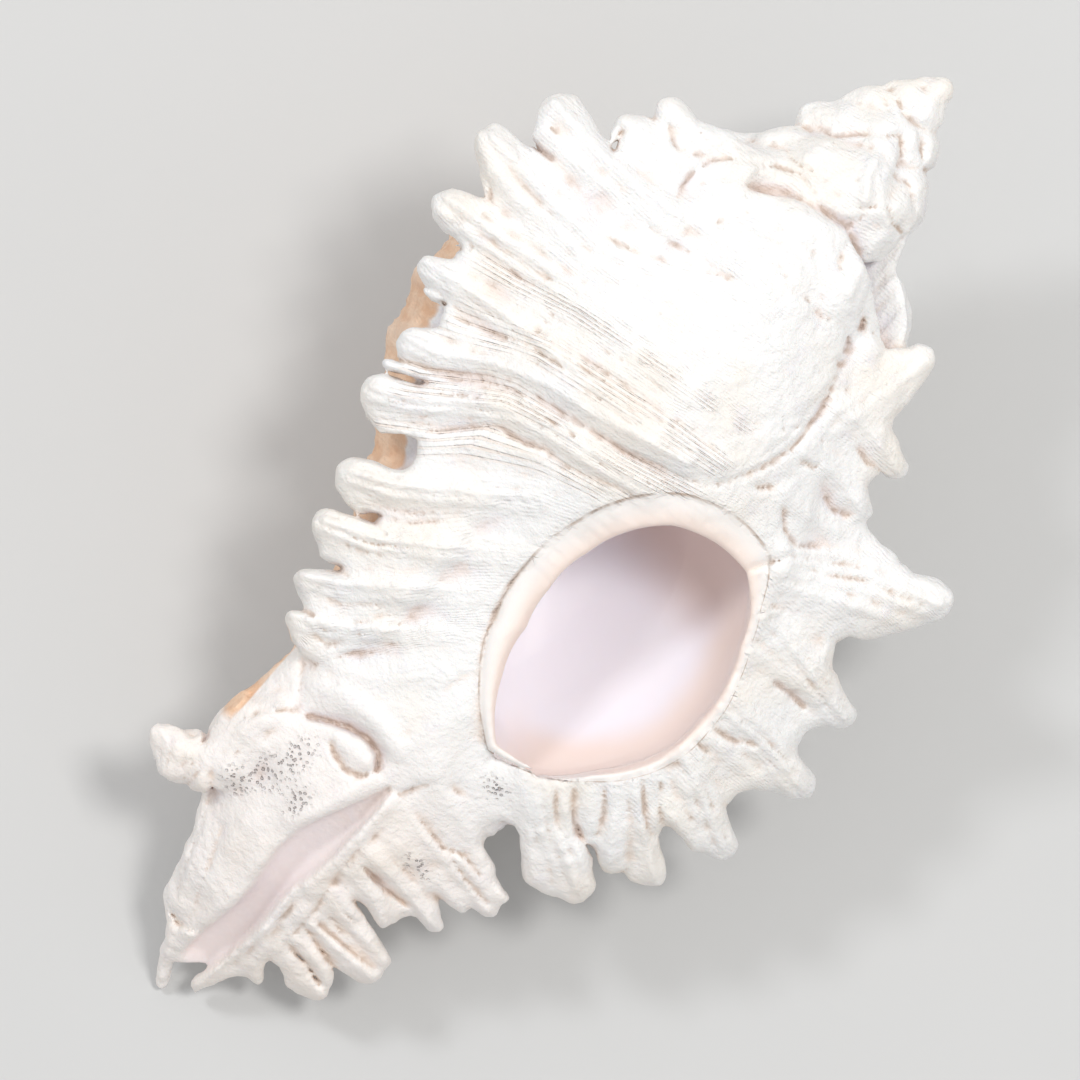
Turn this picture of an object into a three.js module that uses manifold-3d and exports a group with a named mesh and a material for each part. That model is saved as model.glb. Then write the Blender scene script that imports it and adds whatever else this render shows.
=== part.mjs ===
// A murex sea shell, lying on its back with the mouth up. Millimetres.
// The shell's own frame has its coiling axis on Y with the apex at +Y, the outer lip towards +X and the mouth
// facing +Z. Azimuths turn round the axis from the lip side (0) over the back (90) and the left side (180) to the
// front (270). The axis rises towards the apex, because the shell rests on the tip of its canal, on the back rib's
// spines and on a knob between that rib and the lip.
import * as THREE from "three";
import { mergeVertices } from "three/addons/utils/BufferGeometryUtils.js";
import Module from "manifold-3d";

// Driving dimensions
const APEX_Y = 95; // the apex above the tip of the canal
const BASE_Y = 16; // where the body whorl has run into the canal
const AXIS_RISE = 0.17; // rise of the coiling axis towards the apex, as the shell lies
const AXIS_LEVEL_Y = 60; // where the axis crosses Z = 0
const SPIRE_LEAN = -0.05; // lean of the spire towards the left, per millimetre above the last suture
const WHORL_GROWTH = 1.75; // growth of a suture's depth below the apex over one turn
const SPIRE_WHORLS = 5; // whorls above the body whorl
const LIP_AZIMUTH = 345; // where growth stopped
const VARICES = [345, 107, 214]; // azimuths of the three ribs that each whorl carries
const VARIX_HEIGHT = 1.6;
const VARIX_WIDTH = 2.6;
const WALL_SIDES = 36;
const WALL_LEVELS = 17; // rings of the body whorl

const SHELL_COLOUR = "#f4efe8";

const wasm = await Module();
wasm.setup();

// Interpolation through rows [position, values...] in rising order of position.
function along(rows, at) {
  if (at <= rows[0][0]) return rows[0].slice(1);
  for (let i = 1; i < rows.length; i++) {
    const [from, ...low] = rows[i - 1];
    const [to, ...high] = rows[i];
    if (at <= to) return low.map((value, k) => value + ((high[k] - value) * (at - from)) / (to - from));
  }
  return rows.at(-1).slice(1);
}

// The body whorl round one turn: [azimuth, suture's height, radius there, widest level, radius there, fullness
// above that level, fullness below it].
const BODY = [
  [0, 76, 8.8, 50, 20, 1.2, 1.6], [45, 76.5, 9.2, 53, 22.4, 1.5, 1.5], [72, 76.5, 9.6, 55.5, 23.8, 1.7, 1.3],
  [107, 76.5, 10, 57, 22.4, 1.7, 1.15], [180, 75.5, 10.4, 59.5, 21.4, 1.7, 1], [214, 77, 10, 60, 18.5, 1.7, 1],
  [245, 80, 9.4, 60, 15.5, 1.7, 0.85], [285, 81, 8.8, 60, 14.2, 1.7, 0.75], [320, 79, 9, 58, 14.5, 1.5, 0.8],
  [345, 76.5, 9, 52, 18.6, 1.2, 1.4], [360, 76, 8.8, 50, 20, 1.2, 1.6],
];
// The body whorl's radius below its widest level, [share of the way to the base, share of the radius].
const BASE_PROFILE = [[0, 1], [0.07, 0.985], [0.14, 0.935], [0.205, 0.875], [0.34, 0.7], [0.5, 0.55], [0.74, 0.4],
  [0.9, 0.3], [1, 0.08]];
// A spire whorl's radius from its suture down, both in units of the suture's depth below the apex.
const SPIRE_PROFILE = [[1, 0.62], [1.15, 0.74], [1.3, 0.84], [1.47, 0.95], [1.65, 1], [WHORL_GROWTH, 0.99], [2.1, 0.9],
  [2.5, 0]];
// Depth below the apex of the suture a turn before the last, by how far growth still had to go, in degrees.
const SUTURE_DEPTH = [[0, 11.2], [110, 11.3], [200, 10.6], [229, 9.8], [285, 8], [360, 6.4]];

// How far a spire whorl's suture lies below the apex at an azimuth; whorl 1 is the last above the body whorl.
function sutureDepth(azimuth, whorl) {
  const turned = (((azimuth - LIP_AZIMUTH) % 360) + 360) % 360;
  return along(SUTURE_DEPTH, turned)[0] * WHORL_GROWTH ** (1 - whorl);
}

// Height of the ribs at an azimuth on a whorl of that radius.
function varixRise(azimuth, radius) {
  const size = Math.min(1, radius / 20);
  const rise = VARICES.map((centre) => {
    const away = Math.abs(((azimuth - centre + 540) % 360) - 180);
    const off = (THREE.MathUtils.degToRad(away) * radius) / (VARIX_WIDTH * (0.4 + 0.6 * size));
    return Math.exp(-off * off);
  });
  return Math.max(...rise) * VARIX_HEIGHT * size;
}

// The shell wall's radius at an azimuth and a height: the largest of its whorls.
function wallRadius(azimuth, y) {
  const depth = APEX_Y - y;
  const [suture, atSuture, widest, girth, above, below] = along(BODY, azimuth);
  let radius = 0.95 * Math.sqrt(Math.max(0, Math.min(1, depth)));
  if (y < widest) radius = girth * along(BASE_PROFILE, ((widest - y) / (widest - BASE_Y)) ** below)[0];
  else if (y < suture) radius = girth - (girth - atSuture) * ((y - widest) / (suture - widest)) ** above;
  for (let whorl = 1; whorl <= SPIRE_WHORLS; whorl++) {
    const unit = sutureDepth(azimuth, whorl);
    if (depth > unit) radius = Math.max(radius, unit * along(SPIRE_PROFILE, depth / unit)[0]);
  }
  return radius + varixRise(azimuth, radius);
}

// A closed geometry through rings of points, each ring as many as the next, with a fan over each end.
function loft(rings) {
  const sides = rings[0].length;
  const points = [...rings.flat(), centreOf(rings[0]), centreOf(rings.at(-1))];
  const faces = [];
  for (let r = 0; r + 1 < rings.length; r++)
    for (let i = 0; i < sides; i++) {
      const a = r * sides + i;
      const b = r * sides + ((i + 1) % sides);
      faces.push(a, b, a + sides, b, b + sides, a + sides);
    }
  const last = (rings.length - 1) * sides;
  for (let i = 0; i < sides; i++) {
    const next = (i + 1) % sides;
    faces.push(next, i, rings.length * sides);
    faces.push(last + i, last + next, rings.length * sides + 1);
  }
  return new THREE.BufferGeometry().setFromPoints(points).setIndex(faces);
}

function centreOf(ring) {
  return ring.reduce((sum, p) => sum.add(p), new THREE.Vector3()).divideScalar(ring.length);
}

// A closed geometry as a solid that can be cut and joined.
function solid(geometry) {
  const merged = mergeVertices(new THREE.BufferGeometry()
    .setAttribute("position", geometry.getAttribute("position")).setIndex(geometry.index), 1e-4);
  const made = new wasm.Manifold(new wasm.Mesh({
    numProp: 3,
    vertProperties: new Float32Array(merged.attributes.position.array),
    triVerts: new Uint32Array(merged.index.array),
  }));
  if (made.volume() < 0) throw new Error("a solid is inside out");
  return made;
}

// A point at an azimuth, a distance from the axis and a height up it.
function roundAxis(azimuth, radius, y) {
  const turn = THREE.MathUtils.degToRad(azimuth);
  const lean = SPIRE_LEAN * THREE.MathUtils.clamp(y - 76, 0, APEX_Y - y);
  return new THREE.Vector3(radius * Math.cos(turn) + lean, y, -radius * Math.sin(turn));
}

// The whorls as one solid, without spines, canal or mouth.
function whorls() {
  const levels = [];
  for (let i = 0; i < WALL_LEVELS; i++) levels.push(THREE.MathUtils.lerp(BASE_Y + 0.6, 71, i / WALL_LEVELS));
  for (let depth = APEX_Y - 71; depth > 0.5; depth *= 0.89) levels.push(APEX_Y - depth);
  levels.push(APEX_Y - 0.35, APEX_Y - 0.1);
  return solid(loft(levels.map((y) => Array.from({ length: WALL_SIDES }, (_, i) => {
    const azimuth = (i * 360) / WALL_SIDES;
    return roundAxis(azimuth, wallRadius(azimuth, y), y);
  }))));
}

// A tapering finger of oval section through [x, y, z, half width, half thickness] stations. The width lies across
// the finger in the plane that holds the shell's axis, or in the one that faces up where flat is given.
function finger(stations, sides, across) {
  const middle = stations.map(([x, y, z]) => new THREE.Vector3(x, y, z));
  return solid(loft(stations.map(([, , , wide, thick], i) => {
    const run = middle[Math.min(i + 1, middle.length - 1)].clone().sub(middle[Math.max(i - 1, 0)]).normalize();
    const thin = new THREE.Vector3().crossVectors(run, across).normalize();
    const broad = new THREE.Vector3().crossVectors(thin, run).normalize();
    return Array.from({ length: sides }, (_, k) => {
      const turn = (2 * Math.PI * k) / sides;
      return middle[i].clone().addScaledVector(broad, wide * Math.cos(turn)).addScaledVector(thin, thick * Math.sin(turn));
    });
  })));
}

// Fronds of the outer lip, from the apex's side down: [root x, y, z, tip x, y, z, half width at root and tip].
const LIP_FRONDS = [
  [9.6, 69, 3.4, 12.6, 78, 2.8, 2.8, 1.8],
  [9.5, 69.3, 3, 17, 69.5, 0.2, 2.4, 1.3],
  [11, 65.2, 3.4, 17.1, 65.5, -0.4, 2.2, 1.2],
  [11.5, 61.6, 3, 16.6, 62, 0.6, 2.4, 1.4],
  [14.5, 58, 1.8, 26.4, 63.9, -4.6, 5.4, 1.3],
  [17, 56, 1.6, 24.6, 61, -3.8, 3, 1.6],
  [18, 53, 1.6, 26.5, 52.5, -5.6, 4, 1.2],
  [18, 47, 1.6, 27.6, 46.3, -6, 3.9, 1.2],
  [17.5, 41.5, 1.6, 26.3, 38.7, -6, 3.7, 1.2],
  [15, 38, 1.6, 23.7, 33.3, -5.8, 3.2, 1.3],
  [12.5, 37, 1.6, 20.3, 32.2, -5, 2.6, 1.1],
  [9, 34.5, 1.6, 19, 28.9, -5.4, 3.4, 2.1],
  [6, 27.4, 0.8, 15.5, 23.8, -5, 2.8, 1.5],
  [6, 24, 0, 13.8, 21.4, -5.2, 1.8, 0.9],
  [4.5, 20.8, -1, 13, 19.1, -5.8, 1.8, 0.9],
  [4, 18.4, -2, 9.7, 16.7, -5.6, 1.5, 0.9],
  [3.4, 15.2, -3.4, 11.8, 13.2, -8, 2.4, 1.7],
  [3, 11.3, -5.6, 9.7, 8.9, -10, 2.2, 1.5],
  [2.6, 8, -8.3, 5.2, 6.2, -11.6, 1.3, 0.7],
];

// Spines of the left rib, the one before the lip's by two.
const LEFT_SPINES = [
  [-8.5, 78.6, 5, -15.2, 79.1, 7, 1.5, 1.1],
  [-9, 76, 6, -16.8, 75.2, 8, 2, 1.3],
  [-11, 71.4, 7, -21.7, 73.2, 10.5, 2.4, 1.6],
  [-15, 70.9, 9, -21, 70.7, 10.5, 1.1, 0.8],
  [-12, 67.3, 8, -23.9, 68, 11.5, 2.5, 1.5],
  [-12, 62.5, 8, -23.3, 62.2, 11.5, 2.2, 1.4],
  [-12, 58, 8, -21.3, 57.2, 11, 2.1, 1.2],
  [-12, 54, 8, -19, 52.7, 10.5, 1.9, 1.1],
  [-10, 49.6, 7, -18.1, 47.3, 10, 2.2, 1.6],
  [-8, 43.8, 6, -15.4, 41.2, 8.5, 2, 1.4],
  [-6.5, 39.4, 5, -14.4, 37.1, 7.5, 1.8, 1.3],
  [-5.5, 35.3, 4, -13, 32.9, 6.5, 1.7, 1.1],
  [-5, 31.6, 3, -11.5, 30.1, 5, 1.5, 1],
];

// Spines of the back rib: [root y, tip x, y, z, half width].
const BACK_SPINES = [
  [73, -4.4, 74.4, -18.6, 1.8], [69, -6.4, 69.6, -22.6, 2], [64.5, -8, 64.6, -25.3, 2.1], [59.5, -8.6, 59, -23.8, 2.1],
  [54.5, -8.6, 53.4, -22.8, 2], [49.5, -8.4, 47.8, -21.6, 2], [44.5, -8, 42.2, -19.8, 1.9], [39.5, -7.4, 36.6, -18, 1.8],
  [34.5, -6.8, 31.2, -16.4, 1.7], [29.5, -6, 26, -15, 1.6], [24.5, -5.4, 21, -14.2, 1.5], [19.5, -4.6, 16.4, -13.8, 1.3],
];
// Knobs on the back between that rib and the lip: [azimuth, y, rise over the wall, half width].
const KNOBS = [[66, 57, 2.98, 5.4], [48, 63, 1.6, 4], [160, 66, 1.2, 3.6]];
// Spines on the spire: [azimuth, root y, tip y, rise over the wall, half width].
const SPIRE_SPINES = [
  [345, 81.4, 82, -0.5, 1.5], [345, 78.6, 78.6, -0.2, 1.6], [214, 82.8, 83.2, 0.8, 1.1], [216, 81, 81, 1, 1.2],
  [107, 80.6, 81.2, 1.6, 1.5], [107, 78, 78, 1.6, 1.5], [107, 86.8, 87.2, 0.6, 0.9],
];

function frond([x0, y0, z0, x1, y1, z1, wide, narrow]) {
  const bow = 0.06 * Math.hypot(x1 - x0, y1 - y0);
  const mid = [(x0 + x1) / 2, (y0 + y1) / 2, (z0 + z1) / 2 + bow, (wide + narrow) / 2, (wide + narrow) / 2.3];
  const end = (share) => [x0 + (x1 - x0) * share, y0 + (y1 - y0) * share, z0 + (z1 - z0) * share];
  return finger([[x0, y0, z0, wide, wide], mid, [...end(0.9), narrow, narrow * 0.85], [...end(1), narrow * 0.5, narrow * 0.45]],
    6, new THREE.Vector3(0, 1, 0));
}

// A spine from a point inside the wall to its tip.
function spineTo(root, tip, wide) {
  const at = (share, size) => [...root.clone().lerp(tip, share).toArray(), wide * size, wide * size * 0.85];
  return finger([at(0, 1), at(0.55, 0.9), at(0.92, 0.6), at(1, 0.3)], 6, new THREE.Vector3(0, 1, 0));
}

function backSpine([y, tipX, tipY, tipZ, wide]) {
  return spineTo(roundAxis(100, wallRadius(100, y) - 1.6 * wide, y), new THREE.Vector3(tipX, tipY, tipZ), wide);
}

function spireSpine([azimuth, y0, y1, rise, wide]) {
  const wall = wallRadius(azimuth, y0);
  return spineTo(roundAxis(azimuth, wall - 2 * wide, y0), roundAxis(azimuth, wall + rise, y1), wide);
}

function knob([azimuth, y, rise, wide]) {
  const wall = wallRadius(azimuth, y);
  return finger([[-wide, 1.1], [-0.1 * wide, 0.85], [0.75 * rise, 0.5], [rise, 0.2]].map(([out, size]) =>
    [...roundAxis(azimuth, wall + out, y).toArray(), wide * size, wide * size * 0.8]), 10, new THREE.Vector3(0, 1, 0));
}

// The flange that carries the lip's fronds, round the mouth and down the canal.
function lipFlange() {
  const route = [[9.5, 74, 3.4, 2.6, 2.6], [11, 68, 3.4, 3.4, 3.2], [13, 61, 2.9, 4.2, 3.4], [18, 56, 0.8, 5, 3.2],
    [19.8, 50, 0, 5, 3.2], [19.8, 44, 0, 5, 3.2], [18, 39, 0, 4.8, 3.1], [15, 35, 0, 4.2, 3], [11, 30.6, 0.4, 3.8, 2.8],
    [7.4, 25, -0.1, 3.6, 2.4], [5.2, 18, -2.4, 3, 2], [3.8, 11, -5.6, 2.2, 1.7], [2.6, 5.5, -9.6, 1.3, 1.2],
    [1.95, 2.1, -12.4, 0.5, 0.5]];
  return finger(route, 10, new THREE.Vector3(1, 0, 0));
}

// The siphonal canal, flattened, with its tip turned back and to the left.
function canal() {
  return finger([[2, 37, 1, 9, 6.5], [0, 28, 0.5, 9.4, 5.6], [-1.6, 22, -0.6, 8.6, 5], [-1.4, 16, -2.6, 5.8, 4.4],
    [-1.2, 11, -5.2, 4.4, 3.6], [-1.3, 6.5, -8.4, 2.9, 2.6], [-1.2, 3, -11.4, 1.6, 1.7], [-0.3, 0.25, -14.3, 0.45, 0.5]],
    14, new THREE.Vector3(1, 0, 0));
}

// The stump of the canal that the left rib had, pushed aside by the newer one.
function oldCanal() {
  return finger([[-3, 27, 0, 4.6, 4], [-7.4, 21.6, -0.6, 3.4, 3.4], [-9.6, 17.6, -1.4, 2.6, 2.7], [-12.4, 15, -2, 2.2, 2.4]],
    10, new THREE.Vector3(1, 1, 0));
}

// The raised rim round the mouth.
const MOUTH = { x: 10, y: 45.6, wide: 7.5, tall: 11.8 };
function mouthRing(z, spread, sides) {
  return Array.from({ length: sides }, (_, k) => {
    const turn = (2 * Math.PI * k) / sides;
    const pinch = 1 - 0.12 * Math.max(0, -Math.sin(turn)) ** 3;
    return new THREE.Vector3(MOUTH.x + (MOUTH.wide * pinch + spread) * Math.cos(turn) - 1.2 * Math.min(0, Math.sin(turn)) ** 2,
      MOUTH.y + (MOUTH.tall + spread) * Math.sin(turn), z);
  });
}

function mouthRim() {
  const sides = 20;
  return solid(loft([mouthRing(-2, 1.4, sides), mouthRing(6.2, 1.9, sides), mouthRing(7.2, 1.2, sides)]));
}

// The hollow: in at the mouth, then round behind the axis inside the body whorl.
function hollow() {
  const sides = 18;
  const inner = [[35, 10.6, 46, 7, 10.4], [70, 11.2, 48.6, 6.8, 9.4], [105, 11.4, 52, 6.4, 8.4], [140, 11.6, 55.2, 5.8, 7.4],
    [170, 11.6, 57.6, 5, 6.6], [200, 11, 59.6, 4, 6]];
  const turns = inner.map(([azimuth, radius, y, wide, tall]) => Array.from({ length: sides }, (_, k) => {
    const turn = (2 * Math.PI * k) / sides;
    return roundAxis(azimuth, radius + wide * Math.cos(turn), y + tall * Math.sin(turn));
  }));
  return solid(loft([...turns.reverse(), mouthRing(0, 0, sides), mouthRing(5.6, 0, sides), mouthRing(8, 0.9, sides),
    mouthRing(24, 0.9, sides)]));
}

// The open slit down the front of the canal.
function canalSlit() {
  return finger([[3.1, 25, 5.2, 0.5, 1.2], [1.9, 19, 3.6, 1.1, 1.9], [1.2, 14.5, 1.4, 1.6, 2.2], [1, 9, -3, 1.5, 2.6],
    [0.6, 4.5, -7.4, 1.2, 2.6], [0.5, -1, -12.4, 1.2, 2.8]], 10, new THREE.Vector3(1, 0, 0));
}

function shellSolid() {
  const pieces = [whorls(), canal(), oldCanal(), lipFlange(), mouthRim(), ...LIP_FRONDS.map(frond),
    ...LEFT_SPINES.map(frond), ...BACK_SPINES.map(backSpine), ...SPIRE_SPINES.map(spireSpine), ...KNOBS.map(knob)];
  return wasm.Manifold.union(pieces).subtract(hollow()).subtract(canalSlit())
    .warp((p) => { p[2] += AXIS_RISE * (p[1] - AXIS_LEVEL_Y); });
}

function geometryOf(made) {
  const mesh = made.getMesh();
  return new THREE.BufferGeometry()
    .setAttribute("position", new THREE.BufferAttribute(new Float32Array(mesh.vertProperties), 3))
    .setIndex(new THREE.BufferAttribute(new Uint32Array(mesh.triVerts), 1));
}

const shell = new THREE.Mesh(geometryOf(shellSolid()),
  new THREE.MeshStandardMaterial({ color: SHELL_COLOUR, roughness: 0.6, metalness: 0 }));
shell.name = "shell";
shell.geometry.computeVertexNormals();

// The origin goes under the middle of the shell's box, on the surface that it lies on.
shell.updateMatrixWorld(true);
const box = new THREE.Box3().setFromObject(shell, true);
const foot = box.getCenter(new THREE.Vector3()).setZ(box.min.z);
shell.position.sub(foot);

const part = new THREE.Group();
part.add(shell);
export default part;
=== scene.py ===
"""A white murex shell, lying on its back with its mouth up.

The shell is worked out as a grid of distances to its surface, in millimetres in the shell's own frame. It is
then meshed, given its colours and set in the row frame in place of the CAD model's one node.
"""

import bpy
import numpy as np
import openvdb
from mathutils import Matrix, Vector


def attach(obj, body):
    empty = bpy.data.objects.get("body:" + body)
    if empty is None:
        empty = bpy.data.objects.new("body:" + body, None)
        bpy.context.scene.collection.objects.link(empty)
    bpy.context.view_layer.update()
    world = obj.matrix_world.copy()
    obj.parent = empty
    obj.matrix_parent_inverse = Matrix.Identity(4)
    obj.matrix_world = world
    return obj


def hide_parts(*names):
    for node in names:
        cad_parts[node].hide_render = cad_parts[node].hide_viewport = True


# ---- sizes, in millimetres
# The shell's own frame: Y up the coiling axis, +X towards the outer lip, +Z the way the mouth faces.
# Azimuths turn round the axis: the lip's side is 0, the back 90, the left 180 and the front 270.
APEX_Y = 95.0
BASE_Y = 16.0
AXIS_RISE = 0.17  # how steeply the axis climbs towards the apex as the shell lies
AXIS_LEVEL_Y = 60.0  # the level that the climb leaves where it is
SPIRE_LEAN = -0.05
LIP_AZIMUTH = 345.0
SPIRE_WHORLS = 5
TIP_RADIUS = 1.1
NECK_Y, NECK_DEPTH = 81.4, 1.9
SEAM_DEPTH = 0.45
CORD_HEIGHT = 0.75
WHORL_GROWTH = 1.75  # how many times as large each whorl is as the one before
VOXEL = 0.26
LOW = np.array([-26.0, -1.5, -27.5])
HIGH = np.array([30.0, 96.2, 16.5])

# The body whorl round one turn: azimuth, level and radius of its suture, its widest level and the radius
# there, its fullness above that level and below it.
BODY = np.array([
    [0, 76, 8.8, 50, 20, 1.2, 1.6], [45, 76.5, 9.2, 53, 22.4, 1.5, 1.5],
    [72, 76.5, 9.6, 55.5, 23.8, 1.7, 1.3], [107, 76.5, 10, 57, 22.4, 1.7, 1.15],
    [180, 75.5, 10.4, 59.5, 21.4, 1.7, 1], [214, 77, 10, 60, 18.5, 1.7, 1],
    [245, 80, 9.4, 60, 15.5, 1.7, 0.85], [285, 81, 8.8, 60, 14.2, 1.7, 0.75],
    [320, 79, 9, 58, 14.5, 1.5, 0.8], [345, 76.5, 9, 52, 18.6, 1.2, 1.4],
])
# The radius below the widest level, as a share of the radius there, by how far down it is.
BASE_PROFILE = (
    (0, 1), (0.07, 0.985), (0.14, 0.935), (0.205, 0.875), (0.34, 0.7), (0.5, 0.55), (0.74, 0.4), (0.9, 0.3),
    (1, 0.08),
)
# A spire whorl's radius by its depth below the apex, both as a share of the depth of the suture over it.
SPIRE_PROFILE = (
    (1, 0.62), (1.15, 0.74), (1.3, 0.84), (1.47, 0.95), (1.65, 1), (1.75, 0.99), (2.1, 0.9), (2.5, 0),
)
# How deep below the apex the last suture is, by the azimuth from the lip.
SUTURE_DEPTH = ((0, 11.2), (110, 11.3), (200, 10.6), (229, 9.8), (285, 8), (360, 6.4))


def through(rows, at):
    """A table's second column, read where its first has a value."""
    rows = np.asarray(rows, float)
    return np.interp(at, rows[:, 0], rows[:, 1])


def by_level(rows, column, y):
    """A column of a table whose first column is a level that goes down."""
    rows = np.array(rows)[::-1]
    return np.interp(y, rows[:, 0], rows[:, column])


def rise(low, high, value):
    """0 at low, 1 at high, and smooth between, whichever of them is the larger."""
    share = np.clip((value - low) / (high - low), 0, 1)
    return share * share * (3 - 2 * share)


def bump(distance, width):
    """A bell, 1 in its middle and about a third at its width."""
    return np.exp(-((distance / width) ** 2))


def blend_min(a, b, k):
    """The smaller of two distances, rounded over k where they meet."""
    h = np.clip(0.5 + 0.5 * (b - a) / k, 0, 1)
    return b + (a - b) * h - k * h * (1 - h)


# ---- the wall as a map of radii
AZ_STEP, Y_STEP = 1.0, 0.2
AZ = np.arange(0, 360, AZ_STEP)
LEVELS = np.arange(LOW[1], HIGH[1] + Y_STEP, Y_STEP)


def soften(field, cells):
    """The field averaged round the axis with a bell of that many cells."""
    reach = int(3 * cells) + 1
    weights = np.exp(-0.5 * (np.arange(-reach, reach + 1) / cells) ** 2)
    weights /= weights.sum()
    wide = np.pad(field, ((reach, reach), (0, 0)), mode="wrap")
    return sum(weight * wide[i : i + len(field)] for i, weight in enumerate(weights))


def body_radius(y):
    """The body whorl's radius, 0 over its suture, and that suture's level."""
    turn = np.vstack([BODY, BODY[0] + [360, 0, 0, 0, 0, 0, 0]])
    suture, at_suture, widest, girth, above, below = (
        np.interp(AZ, turn[:, 0], turn[:, i])[:, None] for i in range(1, 7)
    )
    down = np.clip((widest - y) / (widest - BASE_Y), 0, 1)
    under = girth * through(BASE_PROFILE, down**below)
    up = np.clip((y - widest) / (suture - widest), 0, 1)
    over = girth - (girth - at_suture) * up**above
    body = soften(np.where(y < widest, under, np.where(y < suture, over, 0)), 5 / AZ_STEP)
    return np.where(y < suture, body, 0), suture


def spire_radius(y):
    """The spire's radius, drawn in at each suture and over the shoulder on the lip's side."""
    depth = APEX_Y - y
    spire = TIP_RADIUS * np.sqrt(np.clip(depth, 0, 1)) + 0 * AZ[:, None]
    turned = (AZ - LIP_AZIMUTH) % 360
    for whorl in range(1, SPIRE_WHORLS + 1):
        unit = through(SUTURE_DEPTH, turned)[:, None] * WHORL_GROWTH ** (1 - whorl)
        ratio = depth / unit
        spire = np.maximum(spire, np.where(ratio > 1, unit * through(SPIRE_PROFILE, ratio), 0))
        spire = spire - np.minimum(0.045 * unit, 0.4) * bump(depth - unit - 0.1, 0.1 + 0.04 * unit)
    lip_side = bump((AZ[:, None] + 30) % 360 - 30, 38)
    return spire - NECK_DEPTH * bump(y - NECK_Y, 2.3) * lip_side


def wall_map():
    """The wall's radius at each azimuth and level."""
    y = LEVELS[None, :]
    body, suture = body_radius(y)
    seam = SEAM_DEPTH * bump(y - suture, 0.5)
    cords = CORD_HEIGHT * back_cords(AZ[:, None], y)
    return np.maximum(body, spire_radius(y)) - seam + cords + growth_folds(y) + threads(y)


# Cords round the back from the left rib to the lip: their levels at the left, the back rib and the lip.
CORDS = np.array([
    [76, 72.5, 68, 63, 58, 53, 48, 42.5, 38, 34, 30.5, 27],
    [73, 69, 64.5, 59.5, 54.5, 49.5, 44.5, 39.5, 34.5, 29.5, 24.5, 19.5],
    [71, 67.5, 63, 58.5, 53, 47.5, 42, 38, 35.5, 33, 28, 23],
])
CORD_AZIMUTHS = (200, 107, -10)
CORD_WIDTH, FINE_CORD_WIDTH, FINE_CORD_PITCH = 0.9, 0.3, 0.95


def back_cords(azimuth, y):
    """How high the cords stand, from 0 to about 1, with finer cords beside them."""
    azimuth = np.where(azimuth > 300, azimuth - 360, azimuth)
    height = 0
    for level in CORDS.T:
        at = np.interp(azimuth, CORD_AZIMUTHS[::-1], level[::-1])
        height = height + bump(y - at, CORD_WIDTH)
        for k in (-2, -1, 1, 2):
            height = height + 0.3 * bump(y - at - FINE_CORD_PITCH * k, FINE_CORD_WIDTH)
    return height * np.clip((azimuth + 16) / 8, 0, 1) * np.clip((206 - azimuth) / 8, 0, 1)


# Low growth folds across the cords: azimuth at the middle level, height, half width in degrees.
GROWTH_FOLDS = (
    (12, 0.35, 3), (24, 0.25, 2), (38, 0.4, 4), (54, 0.2, 2), (76, 0.3, 3), (90, 0.35, 4), (120, 0.3, 3),
    (131, 0.3, 4), (143, 0.25, 2), (156, 0.4, 5), (168, 0.2, 2), (179, 0.35, 4), (192, 0.3, 3),
)


def growth_folds(y):
    """How high the growth folds stand."""
    height = 0
    for azimuth, rise_by, width in GROWTH_FOLDS:
        at = azimuth + 0.3 * (y - 50) + 2 * np.sin(0.5 * y + azimuth)
        away = (AZ[:, None] - at + 180) % 360 - 180
        height = height + rise_by * (0.75 + 0.35 * np.sin(0.9 * y + 2 * azimuth)) * bump(away, width)
    return height * np.clip((y - 20) / 8, 0, 1) * np.clip((80 - y) / 6, 0, 1)


# Lines that the fine threads on the front follow, from the shoulder down, each a run of points (x, y), and
# roughly how far apart they are.
THREAD_LINES = (
    ((-20, 77.5), (-10, 77.5), (0, 79), (9, 80)),
    ((-20, 73.5), (-10, 73.3), (0, 74.5), (9, 75.5)),
    ((-20, 69.5), (-10, 68.8), (-4, 70.6), (9, 72)),
    ((-20, 65), (-10, 65.4), (0, 67), (9, 68.4)),
    ((-20, 60.9), (-15, 61.7), (-10, 62.8), (0, 64), (9, 65)),
    ((-20, 56.5), (-15, 58), (-10, 59.6), (0, 61), (9, 61.8)),
    ((-20, 50.2), (-16, 51.8), (-12, 54.5), (-10, 55.4), (-5, 56.2), (0, 56.9), (9, 59)),
    ((-20, 44), (-16, 46.2), (-12, 48.8), (-9.5, 51.5), (-5, 53), (0, 53.8), (6, 55)),
    ((-18, 37.5), (-13.5, 40.2), (-9.5, 42.3), (-7, 45), (-4, 48), (0, 50)),
    ((-16, 33), (-12, 35), (-8, 38), (-4, 42), (0, 45)),
    ((-14, 28), (-10, 30.5), (-6, 34.5), (-2, 39), (1, 42)),
    ((-10, 25), (-7, 29), (-4, 33), (-1, 36.5), (2, 38)),
    ((-6, 20), (-2, 25), (2, 30), (8, 34)),
)
THREAD_PITCH = 4.0
THREAD_HEIGHT, GROWTH_LINE_HEIGHT = 0.05, 0.04


def across_threads(x, y, front):
    """How far down the shell a point is, counted across the threads."""
    levels = [np.interp(x, *np.transpose(line)) for line in THREAD_LINES]
    gaps = zip(levels[:-1], levels[1:])
    count = sum(np.clip((above - y) / (above - below), 0, 1) for above, below in gaps)
    beyond = np.minimum(levels[0] - y, 0) / THREAD_PITCH + np.maximum(levels[-1] - y, 0) / THREAD_PITCH
    return THREAD_PITCH * (count + beyond) * front + (78 - y) * (1 - front)


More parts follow.
